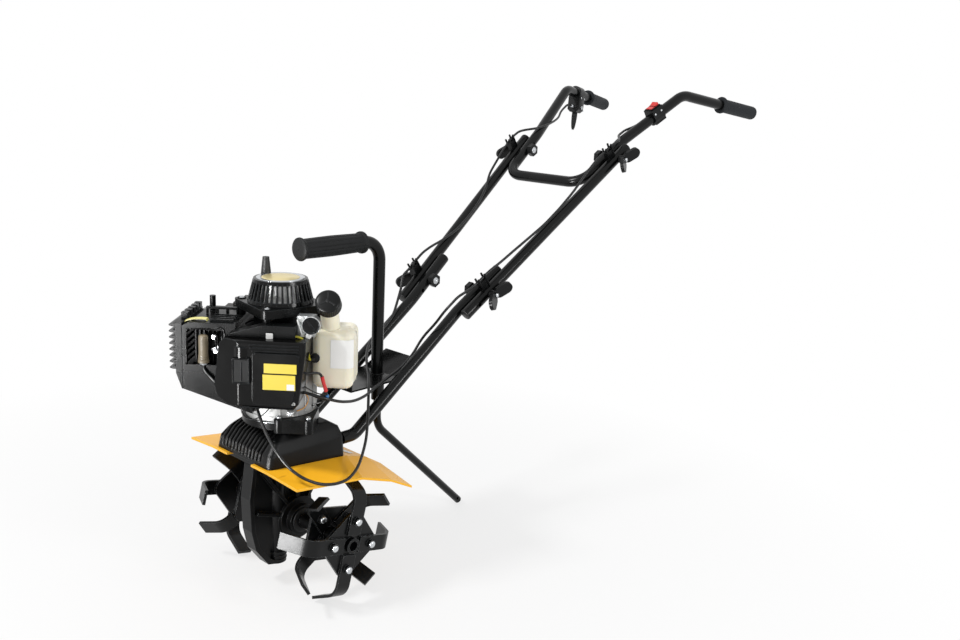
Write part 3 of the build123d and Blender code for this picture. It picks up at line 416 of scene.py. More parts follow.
red_plastic = finish("red_polycarbonate", "#E0261E", "#C81C17", rough=0.28, grain_mm=0.7,
                     grain_depth_mm=0.01, edge_mm=0.8)[0]
dress(red_plastic, "stop_rocker")
switch_frame = frame_at(switch_place, switch_along, switch_up)
bm = bmesh.new()
for y0, y1, z0, z1 in (
        (-bezel_half_width, bezel_side_wall - bezel_half_width, -bezel_half_length, bezel_half_length),
        (bezel_half_width - bezel_side_wall, bezel_half_width, -bezel_half_length, bezel_half_length),
        (-bezel_half_width, bezel_half_width, -bezel_half_length, bezel_end_wall - bezel_half_length),
        (-bezel_half_width, bezel_half_width, bezel_half_length - bezel_end_wall, bezel_half_length)):
    add_block(bm, switch_frame, bezel_low, bezel_high, y0, y1, z0, z1)
add_block(bm, switch_frame, *rocker_split)
add_block(bm, switch_frame, *switch_foot)
add_turned(bm, switch_frame @ pointing(gland_place, gland_way), gland_profile, 16)
keep("switch_bezel", bm, nylon, "upper_grip_bar")
bm = bmesh.new()
for side in (1, -1):
    for end in (1, -1):
        screw_place = (switch_screw_x, side * switch_screw_y, end * switch_screw_z)
        add_turned(bm, switch_frame @ pointing(screw_place, (0, side, 0)), switch_screw_profile, 14)
keep("switch_screws", bm, zinc, "upper_grip_bar")

# Throttle: a nylon housing with a raised rim, a pivot pin and a tapered thumb lever below it. The
# outer sheath of the cable ends in a bright zinc ferrule.
throttle_place = (-990.1, -171.3, 743.4)
throttle_up, throttle_along = (-0.967, -0.214, -0.138), (-0.135, -0.030, 0.990)
rim_profile = [(0, -15), (15.4, -15), (16.5, -13.8), (16.5, 13.8), (15.4, 15), (0, 15)]
shell_outline = [(-46, -8), (-40, -15), (-4, -15.5), (10, -13), (15, -5), (15, 5), (10, 13), (-4, 15.5),
                 (-40, 15), (-46, 8)]
shell_split, shell_depth, shell_chamfer = 0.35, 14.6, 1.4
lever_outline = [(-42, -6), (-42, 6), (-56, 6.5), (-70, 5.6), (-82, 3.9), (-88, 1.6), (-88, -1.6),
                 (-82, -3.9), (-70, -5.6), (-56, -6.5)]
lever_half, lever_chamfer = 3.4, 1.2
lever_rib_places, lever_rib_width = (-80, -74, -68, -62, -56), 1.6
lever_rib = (-3, 3, 3.3, 4.2)
side_panel = (-36, -18, -10, 10, 14.8, 16.2)
throttle_screw_y, pivot_x = 16.4, -34
pivot_profile = [(0, 0), (4.5, 0), (4.2, 1.6), (0, 2.2)]
small_screw_places = ((-12, 9), (-12, -9), (-40, 9))
small_screw_profile = [(0, 0), (2.2, 0), (2, 1), (0, 1.3)]
ferrule_place = (-33, 0, -15)
ferrule_profile = [(0, 0), (4.4, 0), (4.4, 6), (3.4, 8), (3.2, 13), (0, 13)]
throttle_frame = frame_at(throttle_place, throttle_along, throttle_up)
bm = bmesh.new()
add_turned(bm, throttle_frame, rim_profile, 48)
for flip in (0, math.pi):
    half = throttle_frame @ Matrix.Rotation(flip, 4, "X")
    add_prism(bm, half @ Matrix.Translation((0, 0, shell_split)), shell_outline, shell_depth, shell_chamfer)
    add_prism(bm, half, lever_outline, lever_half, lever_chamfer)
    for x in lever_rib_places:
        add_block(bm, half, x, x + lever_rib_width, *lever_rib)
    add_block(bm, half, *side_panel)
keep("throttle_housing", bm, nylon, "upper_grip_bar", crease=35, instead_of="throttle_control")
bm = bmesh.new()
for way in (1, -1):
    pivot_place = (pivot_x, way * throttle_screw_y, 0)
    add_turned(bm, throttle_frame @ pointing(pivot_place, (0, way, 0)), pivot_profile, 18)
    for x, z in small_screw_places:
        screw_place = (x, way * throttle_screw_y, z)
        add_turned(bm, throttle_frame @ pointing(screw_place, (0, way, 0)), small_screw_profile, 12)
add_turned(bm, throttle_frame @ pointing(ferrule_place, (0, 0, -1)), ferrule_profile, 18)
keep("throttle_pin_and_ferrule", bm, zinc, "upper_grip_bar")

# Switch lead and throttle cable: 5 mm black PVC sheath with a dull gleam. Clips hold it to the tubes. A free
# stretch joins the runs across each fold; its two ends are given with the next point of the run beyond each.
sheath_r = 2.55
sheath_overlap = 4
bridge_steps = 14


def add_wire(bm, points, radius, sides=10, steps=6):
    """Adds a round wire that runs smoothly through the given points."""
    points = [Vector(p) for p in points]
    ends = [2 * points[0] - points[1]] + points + [2 * points[-1] - points[-2]]
    path = []
    for a, b, c, d in zip(ends, ends[1:], ends[2:], ends[3:]):
        for k in range(steps):
            t = k / steps
            path.append(0.5 * (2 * b + (c - a) * t + (2 * a - 5 * b + 4 * c - d) * t * t
                               + (3 * b - a - 3 * c + d) * t ** 3))
    path.append(points[-1])
    across = (path[1] - path[0]).orthogonal().normalized()
    rings = []
    for k, here in enumerate(path):
        along = (path[min(k + 1, len(path) - 1)] - path[max(k - 1, 0)]).normalized()
        across = (across - along * across.dot(along)).normalized()
        other = along.cross(across)
        rings.append([bm.verts.new(here + radius * (across * math.cos(a) + other * math.sin(a)))
                      for a in (2 * math.pi * j / sides for j in range(sides))])
    for low, high in zip(rings, rings[1:]):
        for j in range(sides):
            bm.faces.new([low[j], low[(j + 1) % sides], high[(j + 1) % sides], high[j]]).smooth = True
    bm.faces.new(rings[0][::-1])
    bm.faces.new(rings[-1])


def bridge_points(start, end, lead_in, lead_out):
    """Points of a curve from start to end that leaves and arrives along the two directions."""
    span = (end - start).length
    points = []
    for k in range(bridge_steps + 1):
        t = k / bridge_steps
        points.append((2 * t ** 3 - 3 * t ** 2 + 1) * start + (t ** 3 - 2 * t ** 2 + t) * lead_in * span
                      + (3 * t ** 2 - 2 * t ** 3) * end + (t ** 3 - t ** 2) * lead_out * span)
    return points


pvc = finish("black_pvc_sheath", "#090A0A", "#101112", rough=0.33, grain_mm=0.6, grain_depth_mm=0.01,
             edge_mm=0.4, gloss=0.4)[0]
dress(pvc, "lead_on_frame", "throttle_on_frame", "lead_on_middle", "throttle_on_middle", "lead_on_handle",
      "throttle_on_handle")
lower_fold, upper_fold = ("chassis", "middle_handle"), ("middle_handle", "upper_grip_bar")
for name, bodies, before, start, end, after in (
        ("lead_at_lower_fold", lower_fold, (-283, 82, 344), (-301, 90, 364),
         (-344.7, 89.4, 380.6), (-358.8, 90.9, 388.5)),
        ("throttle_at_lower_fold", lower_fold, (-303, -66, 332), (-322, -78, 350),
         (-344.7, -89.4, 380.6), (-358.8, -90.9, 388.5)),
        ("lead_at_upper_fold", upper_fold, (-706.2, 132.4, 643.6), (-724.4, 134.3, 650.9),
         (-772, 108.7, 665.4), (-791.3, 106.8, 673.1)),
        ("throttle_at_upper_fold", upper_fold, (-706.2, -132.4, 643.6), (-723.8, -134.3, 651.7),
         (-772, -108.7, 665.4), (-797, -106.3, 671.7))):
    start, end = Vector(start), Vector(end)
    lead_in = (start - Vector(before)).normalized()
    lead_out = (Vector(after) - end).normalized()
    first, last = start - lead_in * sheath_overlap, end + lead_out * sheath_overlap
    bm = bmesh.new()
    add_wire(bm, [first] + bridge_points(start, end, lead_in, lead_out) + [last], sheath_r, 14, 3)
    bridge = make_piece(name, bm, pvc)
    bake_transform(bridge)

# Gear case: a sand-cast aluminium case, sprayed satin black. The grain of the sand still shows, and its edges
# are painted a shade paler, a painted highlight standing for light caught on them.
cast_black = finish("black_sand_casting", "#050606", "#0A0B0C", rough=0.38, grain_mm=1.6,
                    grain_depth_mm=0.12, edge_mm=1.5, gloss=0.18, edge_wear_and_highlight_tint="#2B2D2F", edge_rough=0.4)[0]
dress(cast_black, "gear_case")

# Tine rotors: flat bar steel on square plates, painted black, on a ground steel shaft. The paint is
# rubbed pale on the edges and dulled on the faces; a dome-headed zinc bolt holds each tine.
tine_bolt_circle_r = 41
outer_plate_y, outer_first_angle = 161.5, -14
inner_plate_y, inner_first_angle = 107.5, 31
tine_bolt_profile = [(0, 4), (5.9, 4), (5.9, 6.2), (5.2, 7.3), (3.2, 8.0), (0, 8.2)]
worn_paint = finish("worn_blade_paint", "#050606", "#0B0C0D", rough=0.32, grain_mm=3.0,
                    grain_depth_mm=0.03, edge_mm=0.5, gloss=0.22, edge_wear_and_highlight_tint="#85888A", edge_rough=0.35)[0]
dress(worn_paint, "rotor_left_outer", "rotor_left_inner", "rotor_right_outer", "rotor_right_inner")
bright_shaft = finish("ground_steel_shaft", "#8C8E90", "#6F7173", rough=0.33, grain_mm=0.5,
                      grain_depth_mm=0.01, edge_mm=0.4, metal=1.0)[0]
dress(bright_shaft, "tine_shaft")
bm = bmesh.new()
for plate_y, first_angle in ((outer_plate_y, outer_first_angle), (inner_plate_y, inner_first_angle)):
    for k in range(4):
        a = math.radians(first_angle + 90 * k)
        for side in (1, -1):
            across, down = tine_bolt_circle_r * math.cos(a), tine_bolt_circle_r * math.sin(a)
            place = Vector((across, side * plate_y, -down))
            add_turned(bm, pointing(place, (0, side, 0)), tine_bolt_profile, 24)
keep("tine_bolts", bm, zinc, "tine_rotor", crease=40)

# Deck: steel sheet in orange-yellow enamel, thick and glossy. Its edges are painted a brighter yellow, a
# painted highlight along them, and long dark scuffs run across the upper side, about 110 mm apart along their
# run and 17 mm across it.
scuffs_per_metre, scuff_turn = (9.0, 60.0, 60.0), 0.5
enamel, tree, shader = finish("yellow_enamel", "#FFC02C", "#FFB521", rough=0.34, grain_mm=2.5,
                              grain_depth_mm=0.02, edge_mm=1.2, gloss=0.3, edge_wear_and_highlight_tint="#FFD45A",
                              edge_rough=0.3, patch_mm=120.0)
place = add(tree, "TexCoord").outputs["Object"]
stretched = add(tree, "Mapping", {"Vector": place, "Scale": scuffs_per_metre,
                                  "Rotation": (0.0, 0.0, scuff_turn)}).outputs[0]
streaks = add(tree, "TexNoise", {"Vector": stretched, "Scale": 1.0, "Detail": 5.0}).outputs[0]
scuffed = add(tree, "MapRange", {"Value": streaks, "From Min": 0.72, "From Max": 0.78, "To Min": 0.0,
                                 "To Max": 0.55}).outputs[0]
clean_tint = shader.inputs["Base Color"].links[0].from_socket
scuff_tints = {0: scuffed, 6: clean_tint, 7: colour("#A86A10")}
tint = add(tree, "Mix", scuff_tints, data_type="RGBA").outputs[2]
tree.links.new(tint, shader.inputs["Base Color"])
dress(enamel, "deck")

# Gear cover, shroud, grille, starter flange and duct: polypropylene mouldings, satin black with a
# fine spark-eroded texture. The gear cover has widely rounded edges, so its gleam is broad.
# Their edges, except the gear cover's, are painted a paler grey: a painted highlight standing for light
# caught on them.
satin_black = finish("satin_black_moulding", "#070808", "#0D0E0E", rough=0.28, grain_mm=0.9,
                     grain_depth_mm=0.03, edge_mm=1.6, gloss=0.13, edge_wear_and_highlight_tint="#2A2D2F", edge_rough=0.3)[0]
satin_cover = finish("satin_black_cover", "#070808", "#0C0D0E", rough=0.33, grain_mm=0.9,
                     grain_depth_mm=0.03, edge_mm=7.0, gloss=0.18)[0]
dress(satin_cover, "gear_cover")
dress(satin_black, "cylinder_shroud", "shroud_grille", "starter_flange", "intake_duct", "clutch_housing")

# Cover of the recoil starter and the air filter box: the same plastic from polished tools, glossy enough to
# draw thin bright lines. Their edges are also painted a paler grey, a painted highlight that adds to those
# lines. The starter's handle is a soft, dull moulding.
gloss_black = finish("gloss_black_moulding", "#030303", "#060606", rough=0.2, grain_mm=3.0,
                     grain_depth_mm=0.015, edge_mm=1.2, gloss=0.17, edge_wear_and_highlight_tint="#3A3E41",
                     edge_rough=0.22)[0]
gloss_box = finish("gloss_black_box", "#030303", "#060606", rough=0.2, grain_mm=3.0, grain_depth_mm=0.015,
                   edge_mm=2.4, gloss=0.17, edge_wear_and_highlight_tint="#26292B", edge_rough=0.2)[0]
soft_black = finish("soft_black_handle", "#101213", "#17191A", rough=0.5, grain_mm=0.8,
                    grain_depth_mm=0.03, edge_mm=1.0, gloss=0.4)[0]
dress(gloss_black, "starter_dome")
dress(gloss_box, "air_filter_box")
dress(soft_black, "starter_grip")

# Flywheel fan behind the slots of the starter: die-cast aluminium, a ring with a blade about every 13
# degrees. It is painted near white and nearly matt, a painted highlight standing for the light that bare
# metal would catch in the dark behind the slots, so it shows as broken white streaks between the black bars.
# From here on, pieces of the engine have their own frame: X along the cylinder, Y to the intake, Z up.
crankshaft_x, engine_turn = 24, math.radians(-48)
engine = millimetres @ Matrix.Translation((crankshaft_x, 0, 0)) @ Matrix.Rotation(engine_turn, 4, "Z")
fan_z = 391
fan_ring_profile = [(34.2, 0.3), (48, 0.3), (48, 4), (45, 7.5), (40, 10), (35.4, 12), (35.4, 33), (34.2, 33),
                    (34.2, 0.3)]
fan_blades, blade_start, blade_foot, blade_t = 27, 35, 1, 1.6
low_blade, high_blade = 19, 29
stand_up = Matrix.Rotation(math.pi / 2, 4, "X")
painted_glint_casting = finish("bright_die_casting", "#F6F6F4", "#D2D4D4", rough=0.3, grain_mm=2.0,
                        grain_depth_mm=0.05, edge_mm=0.6, metal=0.2, patch_mm=9.0)[0]
bm = bmesh.new()
add_turned(bm, Matrix.Translation((0, 0, fan_z)), fan_ring_profile, 56)
for k in range(fan_blades):
    turn = Matrix.Rotation(2 * math.pi * k / fan_blades, 4, "Z")
    upright = Matrix.Translation((blade_start, blade_t / 2, fan_z + blade_foot)) @ stand_up
    tall = low_blade if k % 3 else high_blade
    add_prism(bm, turn @ upright, [(0, 0), (12, 0), (11.4, 6), (9, 12), (7.5, tall), (0, tall)], blade_t)
keep("starter_fan", bm, painted_glint_casting, "chassis", engine, crease=40)

# Top of the starter: a bright steel ring pressed into the black rim, round a plain disc of
# gold-coloured foil with a soft sheen. Slim glossy bars divide the slots below it.
starter_top_z = 429.3
ring_profile = [(0, -1), (39.5, -1), (39.5, 0.7), (38.6, 1.3), (32.4, 1.1), (31.6, 0.5), (0, 0.5)]
disc_profile = [(0, 0), (31, 0), (31, 0.8), (30.4, 1.1), (0, 1.1)]
bar_count, bar_foot_x, bar_foot_z, bar_length, bar_lean = 36, 53.2, 391.5, 36, math.radians(-14.4)
bar_outline = [(-0.4, -0.9), (0.9, -0.9), (0.9, 0.9), (-0.4, 0.9)]
bm = bmesh.new()
add_turned(bm, Matrix.Translation((0, 0, starter_top_z)), ring_profile, 72)
keep("starter_ring", bm, zinc, "chassis", engine, crease=30)
foil = finish("gold_foil_disc", "#E6D7A4", "#D6C58C", rough=0.34, grain_mm=0.4, grain_depth_mm=0.008,
              edge_mm=0.4, metal=0.55)[0]
bm = bmesh.new()
add_turned(bm, Matrix.Translation((0, 0, starter_top_z)), disc_profile, 72)
keep("starter_disc", bm, foil, "chassis", engine, crease=30)
bm = bmesh.new()
for k in range(bar_count):
    turn = Matrix.Rotation(2 * math.pi * (k + 0.5) / bar_count, 4, "Z")
    lean = Matrix.Translation((bar_foot_x, 0, bar_foot_z)) @ Matrix.Rotation(bar_lean, 4, "Y")
    add_prism(bm, turn @ lean, bar_outline, bar_length)
keep("starter_bars", bm, gloss_black, "chassis", engine)

# Starter flange: four countersunk corners with pan-head zinc screws, and tapered posts under them
# in the satin plastic of the flange.
flange_turn, corner_reach = math.radians(38), 47
corner_z, post_z, screw_z = 390, 362, 389.6
corner_profile = [(7.4, -1), (7.4, 1.2), (6.6, 1.8), (5.6, 1.2), (5.6, -1), (7.4, -1)]
post_profile = [(0, 0), (6.4, 0), (8.2, 14.5), (0, 14.5)]
screw_profile = [(0, -1), (4.4, -1), (4.4, 1.6), (3.4, 2.6), (1.7, 2.9), (1.5, 1.6), (0, 1.5)]
corners = [Matrix.Rotation(flange_turn, 4, "Z") @ Vector((sx * corner_reach, sy * corner_reach, 0))
           for sx, sy in ((1, 1), (-1, 1), (-1, -1), (1, -1))]
bm = bmesh.new()
for c in corners:
    add_turned(bm, Matrix.Translation((c.x, c.y, corner_z)), corner_profile, 28)
    add_turned(bm, Matrix.Translation((c.x, c.y, post_z)), post_profile, 24)
keep("starter_corner_posts", bm, satin_black, "chassis", engine, crease=40)
bm = bmesh.new()
for c in corners:
    add_turned(bm, Matrix.Translation((c.x, c.y, screw_z)), screw_profile, 20)
keep("starter_screws", bm, zinc, "chassis", engine, crease=40)

# Fuel cap: satin black nylon with a knurled rim, tilted further than the neck it closes. Its plain
# domed face has three shallow spokes and a hub.
neck_foot, neck_tilt, neck_length = (-86.15, 6, 337), math.radians(34), 77
cap_tilt, cap_inside_neck = math.radians(52), 11
cap_knurls, cap_face_height, hub_height = 40, 20.9, 21.6
cap_profile = [(0.5, 0, 0), (18.6, 0, 0), (20.6, 0.8, 0), (20.9, 2.2, 0), (20.6, 3.2, 0), (20.8, 4.2, 0.9),
               (20.4, 17.2, 0.9), (20, 18.6, 0), (18.6, 20.4, 0), (15, 21.3, 0), (8, 21.9, 0), (0.5, 22, 0)]
spoke_outline, spoke_t, spoke_chamfer = [(2, -1.1), (14.6, -1.6), (15.6, 0), (14.6, 1.6), (2, 1.1)], 1.2, 0.4
hub_profile = [(0, 0), (3.4, 0), (3, 0.9), (0, 1.1)]
neck_way = Vector((0, math.sin(neck_tilt), math.cos(neck_tilt)))
cap_way = Vector((0, math.sin(cap_tilt), math.cos(cap_tilt)))
cap_foot = Vector(neck_foot) + neck_way * neck_length - cap_way * cap_inside_neck
bm = bmesh.new()
add_fluted(bm, pointing(cap_foot, cap_way), cap_profile, cap_knurls, 6)
keep("fuel_cap_knurled", bm, nylon, "chassis", engine, crease=50, instead_of="fuel_cap")
bm = bmesh.new()
for k in range(3):
    turn = pointing(cap_foot + cap_way * cap_face_height, cap_way, 2 * math.pi * k / 3)
    add_prism(bm, turn, spoke_outline, spoke_t, spoke_chamfer)
add_turned(bm, pointing(cap_foot + cap_way * hub_height, cap_way), hub_profile, 20)
keep("fuel_cap_face", bm, rubber, "chassis", engine)

# Fuel tank: blow-moulded natural polyethylene. It is cream and milky, and light goes a few
# millimetres into it; the moulding seam runs round its middle. A blank white paper label wraps its
# corner, and a clear yellow hose leaves through a rubber grommet.
seam_x, seam_y, seam_z, seam_r = -92.15, 1, 302, 0.9
seam_width, seam_height, seam_corner = 67.7, 100, 14
label_z, label_height, label_flat_x = 290, 48, -89
label_wrap_steps, label_wrap_step = 6, math.radians(12)
tank_corner_x, tank_corner_y, label_outer_r, label_inner_r = -112, 26, 14.5, 14.05
grommet_place = (-64, 39, 306)
grommet_profile = [(0, 0), (8, 0), (8, 2.6), (7, 4), (4.6, 4.6), (4.2, 7.4), (0, 7.8)]
nozzle_points = [(-64, 43, 306), (-62, 47, 305.5), (-57, 49, 304.5), (-52, 50, 304)]
nozzle_r = 2.6
hose_points = [(-20, 68, 350.8), (-32, 78, 351), (-45, 79, 350.5), (-53, 77, 344), (-56.5, 71, 333),
               (-57, 63, 320), (-57, 54, 309), (-58, 49, 305)]
hose_r = 1.9


def rounded_outline(width, height, corner, steps=5):
    """Corner points of a flat plate with rounded corners, centred on its own middle."""
    points = []
    for sx, sy, start in ((1, 1, 0), (-1, 1, 90), (-1, -1, 180), (1, -1, 270)):
        for k in range(steps + 1):
            a = math.radians(start + 90 * k / steps)
            points.append((sx * (width / 2 - corner) + corner * math.cos(a),
                           sy * (height / 2 - corner) + corner * math.sin(a)))
    return points


def label_line(r):
    """The label's surface at a distance from the axis of the tank's corner."""
    line = [(label_flat_x, tank_corner_y + r), (tank_corner_x, tank_corner_y + r)]
    for k in range(1, label_wrap_steps + 1):
        a = label_wrap_step * k
        line.append((tank_corner_x - r * math.sin(a), tank_corner_y + r * math.cos(a)))
    return line


milky, tree, shader = finish("milky_polyethylene", "#F5F0DE", "#EEE7CF", rough=0.38, grain_mm=2.0,
                             grain_depth_mm=0.03, edge_mm=1.5, gloss=0.4)
shader.inputs["Subsurface Weight"].default_value = 0.6
shader.inputs["Subsurface Radius"].default_value = (1.0, 0.9, 0.7)
shader.inputs["Subsurface Scale"].default_value = 0.008
dress(milky, "fuel_tank")
bm = bmesh.new()
seam = [(x + seam_x, seam_y, z + seam_z) for x, z in rounded_outline(seam_width, seam_height, seam_corner, 6)]
add_wire(bm, seam + seam[:1], seam_r, 8, 2)
keep("tank_seam", bm, milky, "chassis", engine)
blank_label = finish("blank_white_label", "#F6F6F4", "#EFEFEC", rough=0.42, grain_mm=0.5,
                     grain_depth_mm=0.005, edge_mm=0.3)[0]
bm = bmesh.new()
label_outline = label_line(label_outer_r) + label_line(label_inner_r)[::-1]
add_prism(bm, Matrix.Translation((0, 0, label_z)), label_outline, label_height)
keep("tank_label", bm, blank_label, "chassis", engine, crease=30)
bm = bmesh.new()
add_turned(bm, pointing(grommet_place, (0, 1, 0)), grommet_profile, 28)
add_wire(bm, nozzle_points, nozzle_r, 12)
keep("tank_grommet", bm, rubber, "chassis", engine, crease=40)
fuel_hose, tree, shader = finish("fuel_hose_yellow", "#C9C12E", "#B8AE24", rough=0.25, grain_mm=1.0,
                                 grain_depth_mm=0.01, edge_mm=0.4)
shader.inputs["Transmission Weight"].default_value = 0.25
bm = bmesh.new()
add_wire(bm, hose_points, hose_r, 12)
keep("fuel_hose", bm, fuel_hose, "chassis", engine)

# Carburettor: bare die-cast zinc alloy, light grey and matt, with a thin silver ring round the
# black inlet. Its slanting choke plate is glossy black; small bright screws and a lever stand on
# the body's side.
inlet_x, inlet_z, inlet_ring_y, choke_y = -64, 370, 77.7, 77.9
inlet_ring_profile = [(13.9, 0), (14.6, 0), (14.6, 2), (14.4, 2.4), (14.1, 2.4), (13.9, 2), (13.9, 0)]
body_screw_places = ((-50, 65.6, 360), (-47, 65.6, 377))
body_foot = (-52, -46, 65.5, 72, 349, 354)
adjuster_place, adjuster_profile = (-59, 68, 351.5), [(0, 0), (4.6, 0), (4.6, 7), (3.6, 8), (0, 8.2)]
choke_lever_place, choke_lever_turn, choke_lever = (-45, 66, 366), math.radians(18), (-1, 1, 0, 9, -12, 12)
choke_turn, choke_bar = math.radians(35), (-11.4, 11.4, -1.1, 1.1, 0.6, 2.2)
choke_profile = [(0, 0), (14, 0), (14, 2.2), (13.2, 2.6), (12.2, 2.2), (11.6, 0.7), (0, 0.7)]
bare_carburettor = finish("bare_die_casting", "#B6B8B8", "#96999A", rough=0.42, grain_mm=1.2,
                          grain_depth_mm=0.1, edge_mm=0.8, metal=0.85, patch_mm=14.0)[0]
dress(bare_carburettor, "carburettor")
bm = bmesh.new()
add_turned(bm, pointing((inlet_x, inlet_ring_y, inlet_z), (0, 1, 0)), inlet_ring_profile, 48)
for place in body_screw_places:
    add_turned(bm, pointing(place, (0, 1, 0)), screw_profile, 18)
add_block(bm, Matrix.Identity(4), *body_foot)
add_turned(bm, pointing(adjuster_place, (0, 1, 0)), adjuster_profile, 18)
add_block(bm, Matrix.Translation(choke_lever_place) @ Matrix.Rotation(choke_lever_turn, 4, "Y"), *choke_lever)
# The fittings share the fan's near-white, nearly matt casting, so they carry the same painted highlight.
keep("carburettor_fittings", bm, painted_glint_casting, "chassis", engine, crease=40)
bm = bmesh.new()
choke_place = pointing((inlet_x, choke_y, inlet_z), (0, 1, 0), choke_turn)
add_turned(bm, choke_place, choke_profile, 48)
add_block(bm, choke_place, *choke_bar)
keep("choke_plate", bm, gloss_black, "chassis", engine, crease=40)

# Air filter box: thin glossy ledges moulded round its cover and round a latch on a half-round
# column. Its front carries two plain panels of bright yellow foil and a white square, and a white
# clip sits on top.
latch_ledges = ((27, 53, 104, 111.6, 279.6, 281.8), (27, 53, 104, 111.6, 318.4, 320.6),
                (51, 53.6, 103, 111.4, 280, 320), (26.4, 28.6, 103, 111.4, 280, 320))
cover_ledge_y, cover_ledge_start = 104, -50
cover_ledge_t, cover_ledge_half, cover_ledge_chamfer = 3.4, 1.1, 0.4
cover_ledges = ((332.6, 24), (337.6, 27), (342.4, 28))
foot_ledge = (-41, 44, 105, 107.2, 238.6, 240.4)
latch_recess, latch_tongue = (28.6, 51, 104, 110.4, 281.8, 318.4), (38, 40.5, 110.3, 111.2, 284, 315)
upper_panel, lower_panel = (-47, 4, 110.0, 110.4, 298.6, 314.2), (-45, 6, 110.0, 110.4, 271.4, 296.2)
white_square, foot_tab = (-43.6, -31.6, 110.3, 110.7, 272, 281.6), (-44, -38, 99, 106, 246, 250.6)
clip_place, clip_turn, clip = (1, 84, 348.2), 0.35, (-5, 5, -5, 5, 0, 8)
bm = bmesh.new()
for ledge in latch_ledges:
    add_block(bm, Matrix.Identity(4), *ledge)
for z, end in cover_ledges:
    at = Matrix.Translation((0, cover_ledge_y, z)) @ stand_up.inverted()
    outline = [(cover_ledge_start, -cover_ledge_half), (end, -cover_ledge_half), (end, cover_ledge_half),
               (cover_ledge_start, cover_ledge_half)]
    add_prism(bm, at, outline, cover_ledge_t, cover_ledge_chamfer)
add_block(bm, Matrix.Identity(4), *foot_ledge)
keep("filter_ledges", bm, gloss_black, "chassis", engine)
panel_yellow = finish("blank_yellow_label", "#F4DC2A", "#EFD520", rough=0.35, grain_mm=0.5,
                      grain_depth_mm=0.004, edge_mm=0.3)[0]
for name, material, blocks in (
        ("latch_recess", nylon, [latch_recess]), ("latch_tongue", gloss_black, [latch_tongue]),
        ("filter_panels", panel_yellow, [upper_panel, lower_panel])):
    bm = bmesh.new()
    for block in blocks:
        add_block(bm, Matrix.Identity(4), *block)
    keep(name, bm, material, "chassis", engine)
bm = bmesh.new()
add_block(bm, Matrix.Identity(4), *white_square)
add_block(bm, Matrix.Identity(4), *foot_tab)
add_block(bm, Matrix.Translation(clip_place) @ Matrix.Rotation(clip_turn, 4, "Z"), *clip)
keep("white_square_and_clip", bm, blank_label, "chassis", engine)

# Crankcase: the same bare casting with a sand-blasted skin, pale and matt. It has upright
# stiffening ribs, the bright edge of its base plate, a bracket with a screw, and zinc screws in two
# bosses of the black clutch housing.
rib_angles, rib = (100, 116, 145, 165, 190, 215, 240, 265), (57, 60, -1.4, 1.4, 210, 330)
base_z, base_profile = 206.6, [(50, 0), (59.4, 0), (59.4, 1.2), (50, 1.2), (50, 0)]
bracket_z, bracket_t, bracket_chamfer = 212, 8, 0.6
bracket_outline = [(-34, 44), (-22, 44), (-22, 64), (-34, 64)]
bracket_screw_place = (-28, 63.8, 216)
boss_places, boss_y, boss_screw_y, boss_z, boss_screw_z = (-9, -57), 60, 59, 182.4, 207.6
boss_profile = [(0, 0), (8.4, 0), (8.4, 22), (7.6, 23.7), (0, 23.7)]
joint_z, joint_profile = 184.2, [(54, 0), (56, 0.5), (56, 2.5), (54, 3)]
clip_wire_r, clip_wire_z, clip_wire_t, clip_wire_angles = 63.2, 198.8, 0.9, range(66, 98, 4)
bare_casting = finish("bare_crankcase_casting", "#B3B3B1", "#8E8F8F", rough=0.5, grain_mm=1.4,
                      grain_depth_mm=0.12, edge_mm=1.0, metal=0.6, gloss=0.4, patch_mm=25.0)[0]
dress(bare_casting, "crankcase")
bm = bmesh.new()
for degrees in rib_angles:
    add_block(bm, Matrix.Rotation(math.radians(degrees), 4, "Z"), *rib)
add_turned(bm, Matrix.Translation((0, 0, base_z)), base_profile, 96)
add_prism(bm, Matrix.Translation((0, 0, bracket_z)), bracket_outline, bracket_t, bracket_chamfer)
keep("crankcase_ribs", bm, bare_casting, "chassis", engine, crease=35)
bm = bmesh.new()
add_turned(bm, pointing(bracket_screw_place, (0, 1, 0)), screw_profile, 20)
for x in boss_places:
    add_turned(bm, Matrix.Translation((x, boss_screw_y, boss_screw_z)), screw_profile, 20)
add_wire(bm, [(clip_wire_r * math.cos(a), clip_wire_r * math.sin(a), clip_wire_z)
              for a in map(math.radians, clip_wire_angles)], clip_wire_t, 8, 2)
keep("crankcase_screws", bm, zinc, "chassis", engine, crease=35)
bm = bmesh.new()
for x in boss_places:
    add_turned(bm, Matrix.Translation((x, boss_y, boss_z)), boss_profile, 28)
add_turned(bm, Matrix.Translation((0, 0, joint_z)), joint_profile, 72)
keep("clutch_bosses", bm, satin_black, "chassis", engine, crease=40)

# Wires of the engine: black PVC ones from under the filter box and a thin orange one round the
# crankcase. The stop wire has a matt red shrink sleeve and a satin blue plug, the two bright dots
# of colour on the black engine.
wire_runs = (([(-38, 72, 286), (-52, 70, 287), (-66, 63, 287.5), (-74, 58, 285.5), (-78.5, 55.5, 279)],
              2.2, 12),
             ([(50, 68, 238), (50, 70, 228), (48, 71, 216), (40, 72, 208), (26, 72, 208), (12, 71, 218),
               (0, 69, 232)], 1.1, 8),
             ([(-38, 64, 262), (-46, 60, 256), (-58, 52, 247), (-68, 45, 240), (-78, 42, 236)], 1.3, 8),
             ([(-40, 66, 272), (-48, 60, 265), (-57, 55, 257), (-70, 50, 249), (-84, 48, 246)], 1.1, 8),
             ([(-84, 50, 254), (-85, 48, 249), (-85, 45.5, 243), (-82, 42, 236), (-74, 38, 230),
               (-58, 34, 222)], 1.3, 8))
sleeve_points = [(-78.2, 55.7, 280), (-80, 54.5, 271), (-82.5, 52.5, 261), (-84, 50.5, 253.5)]
sleeve_r = 3.1
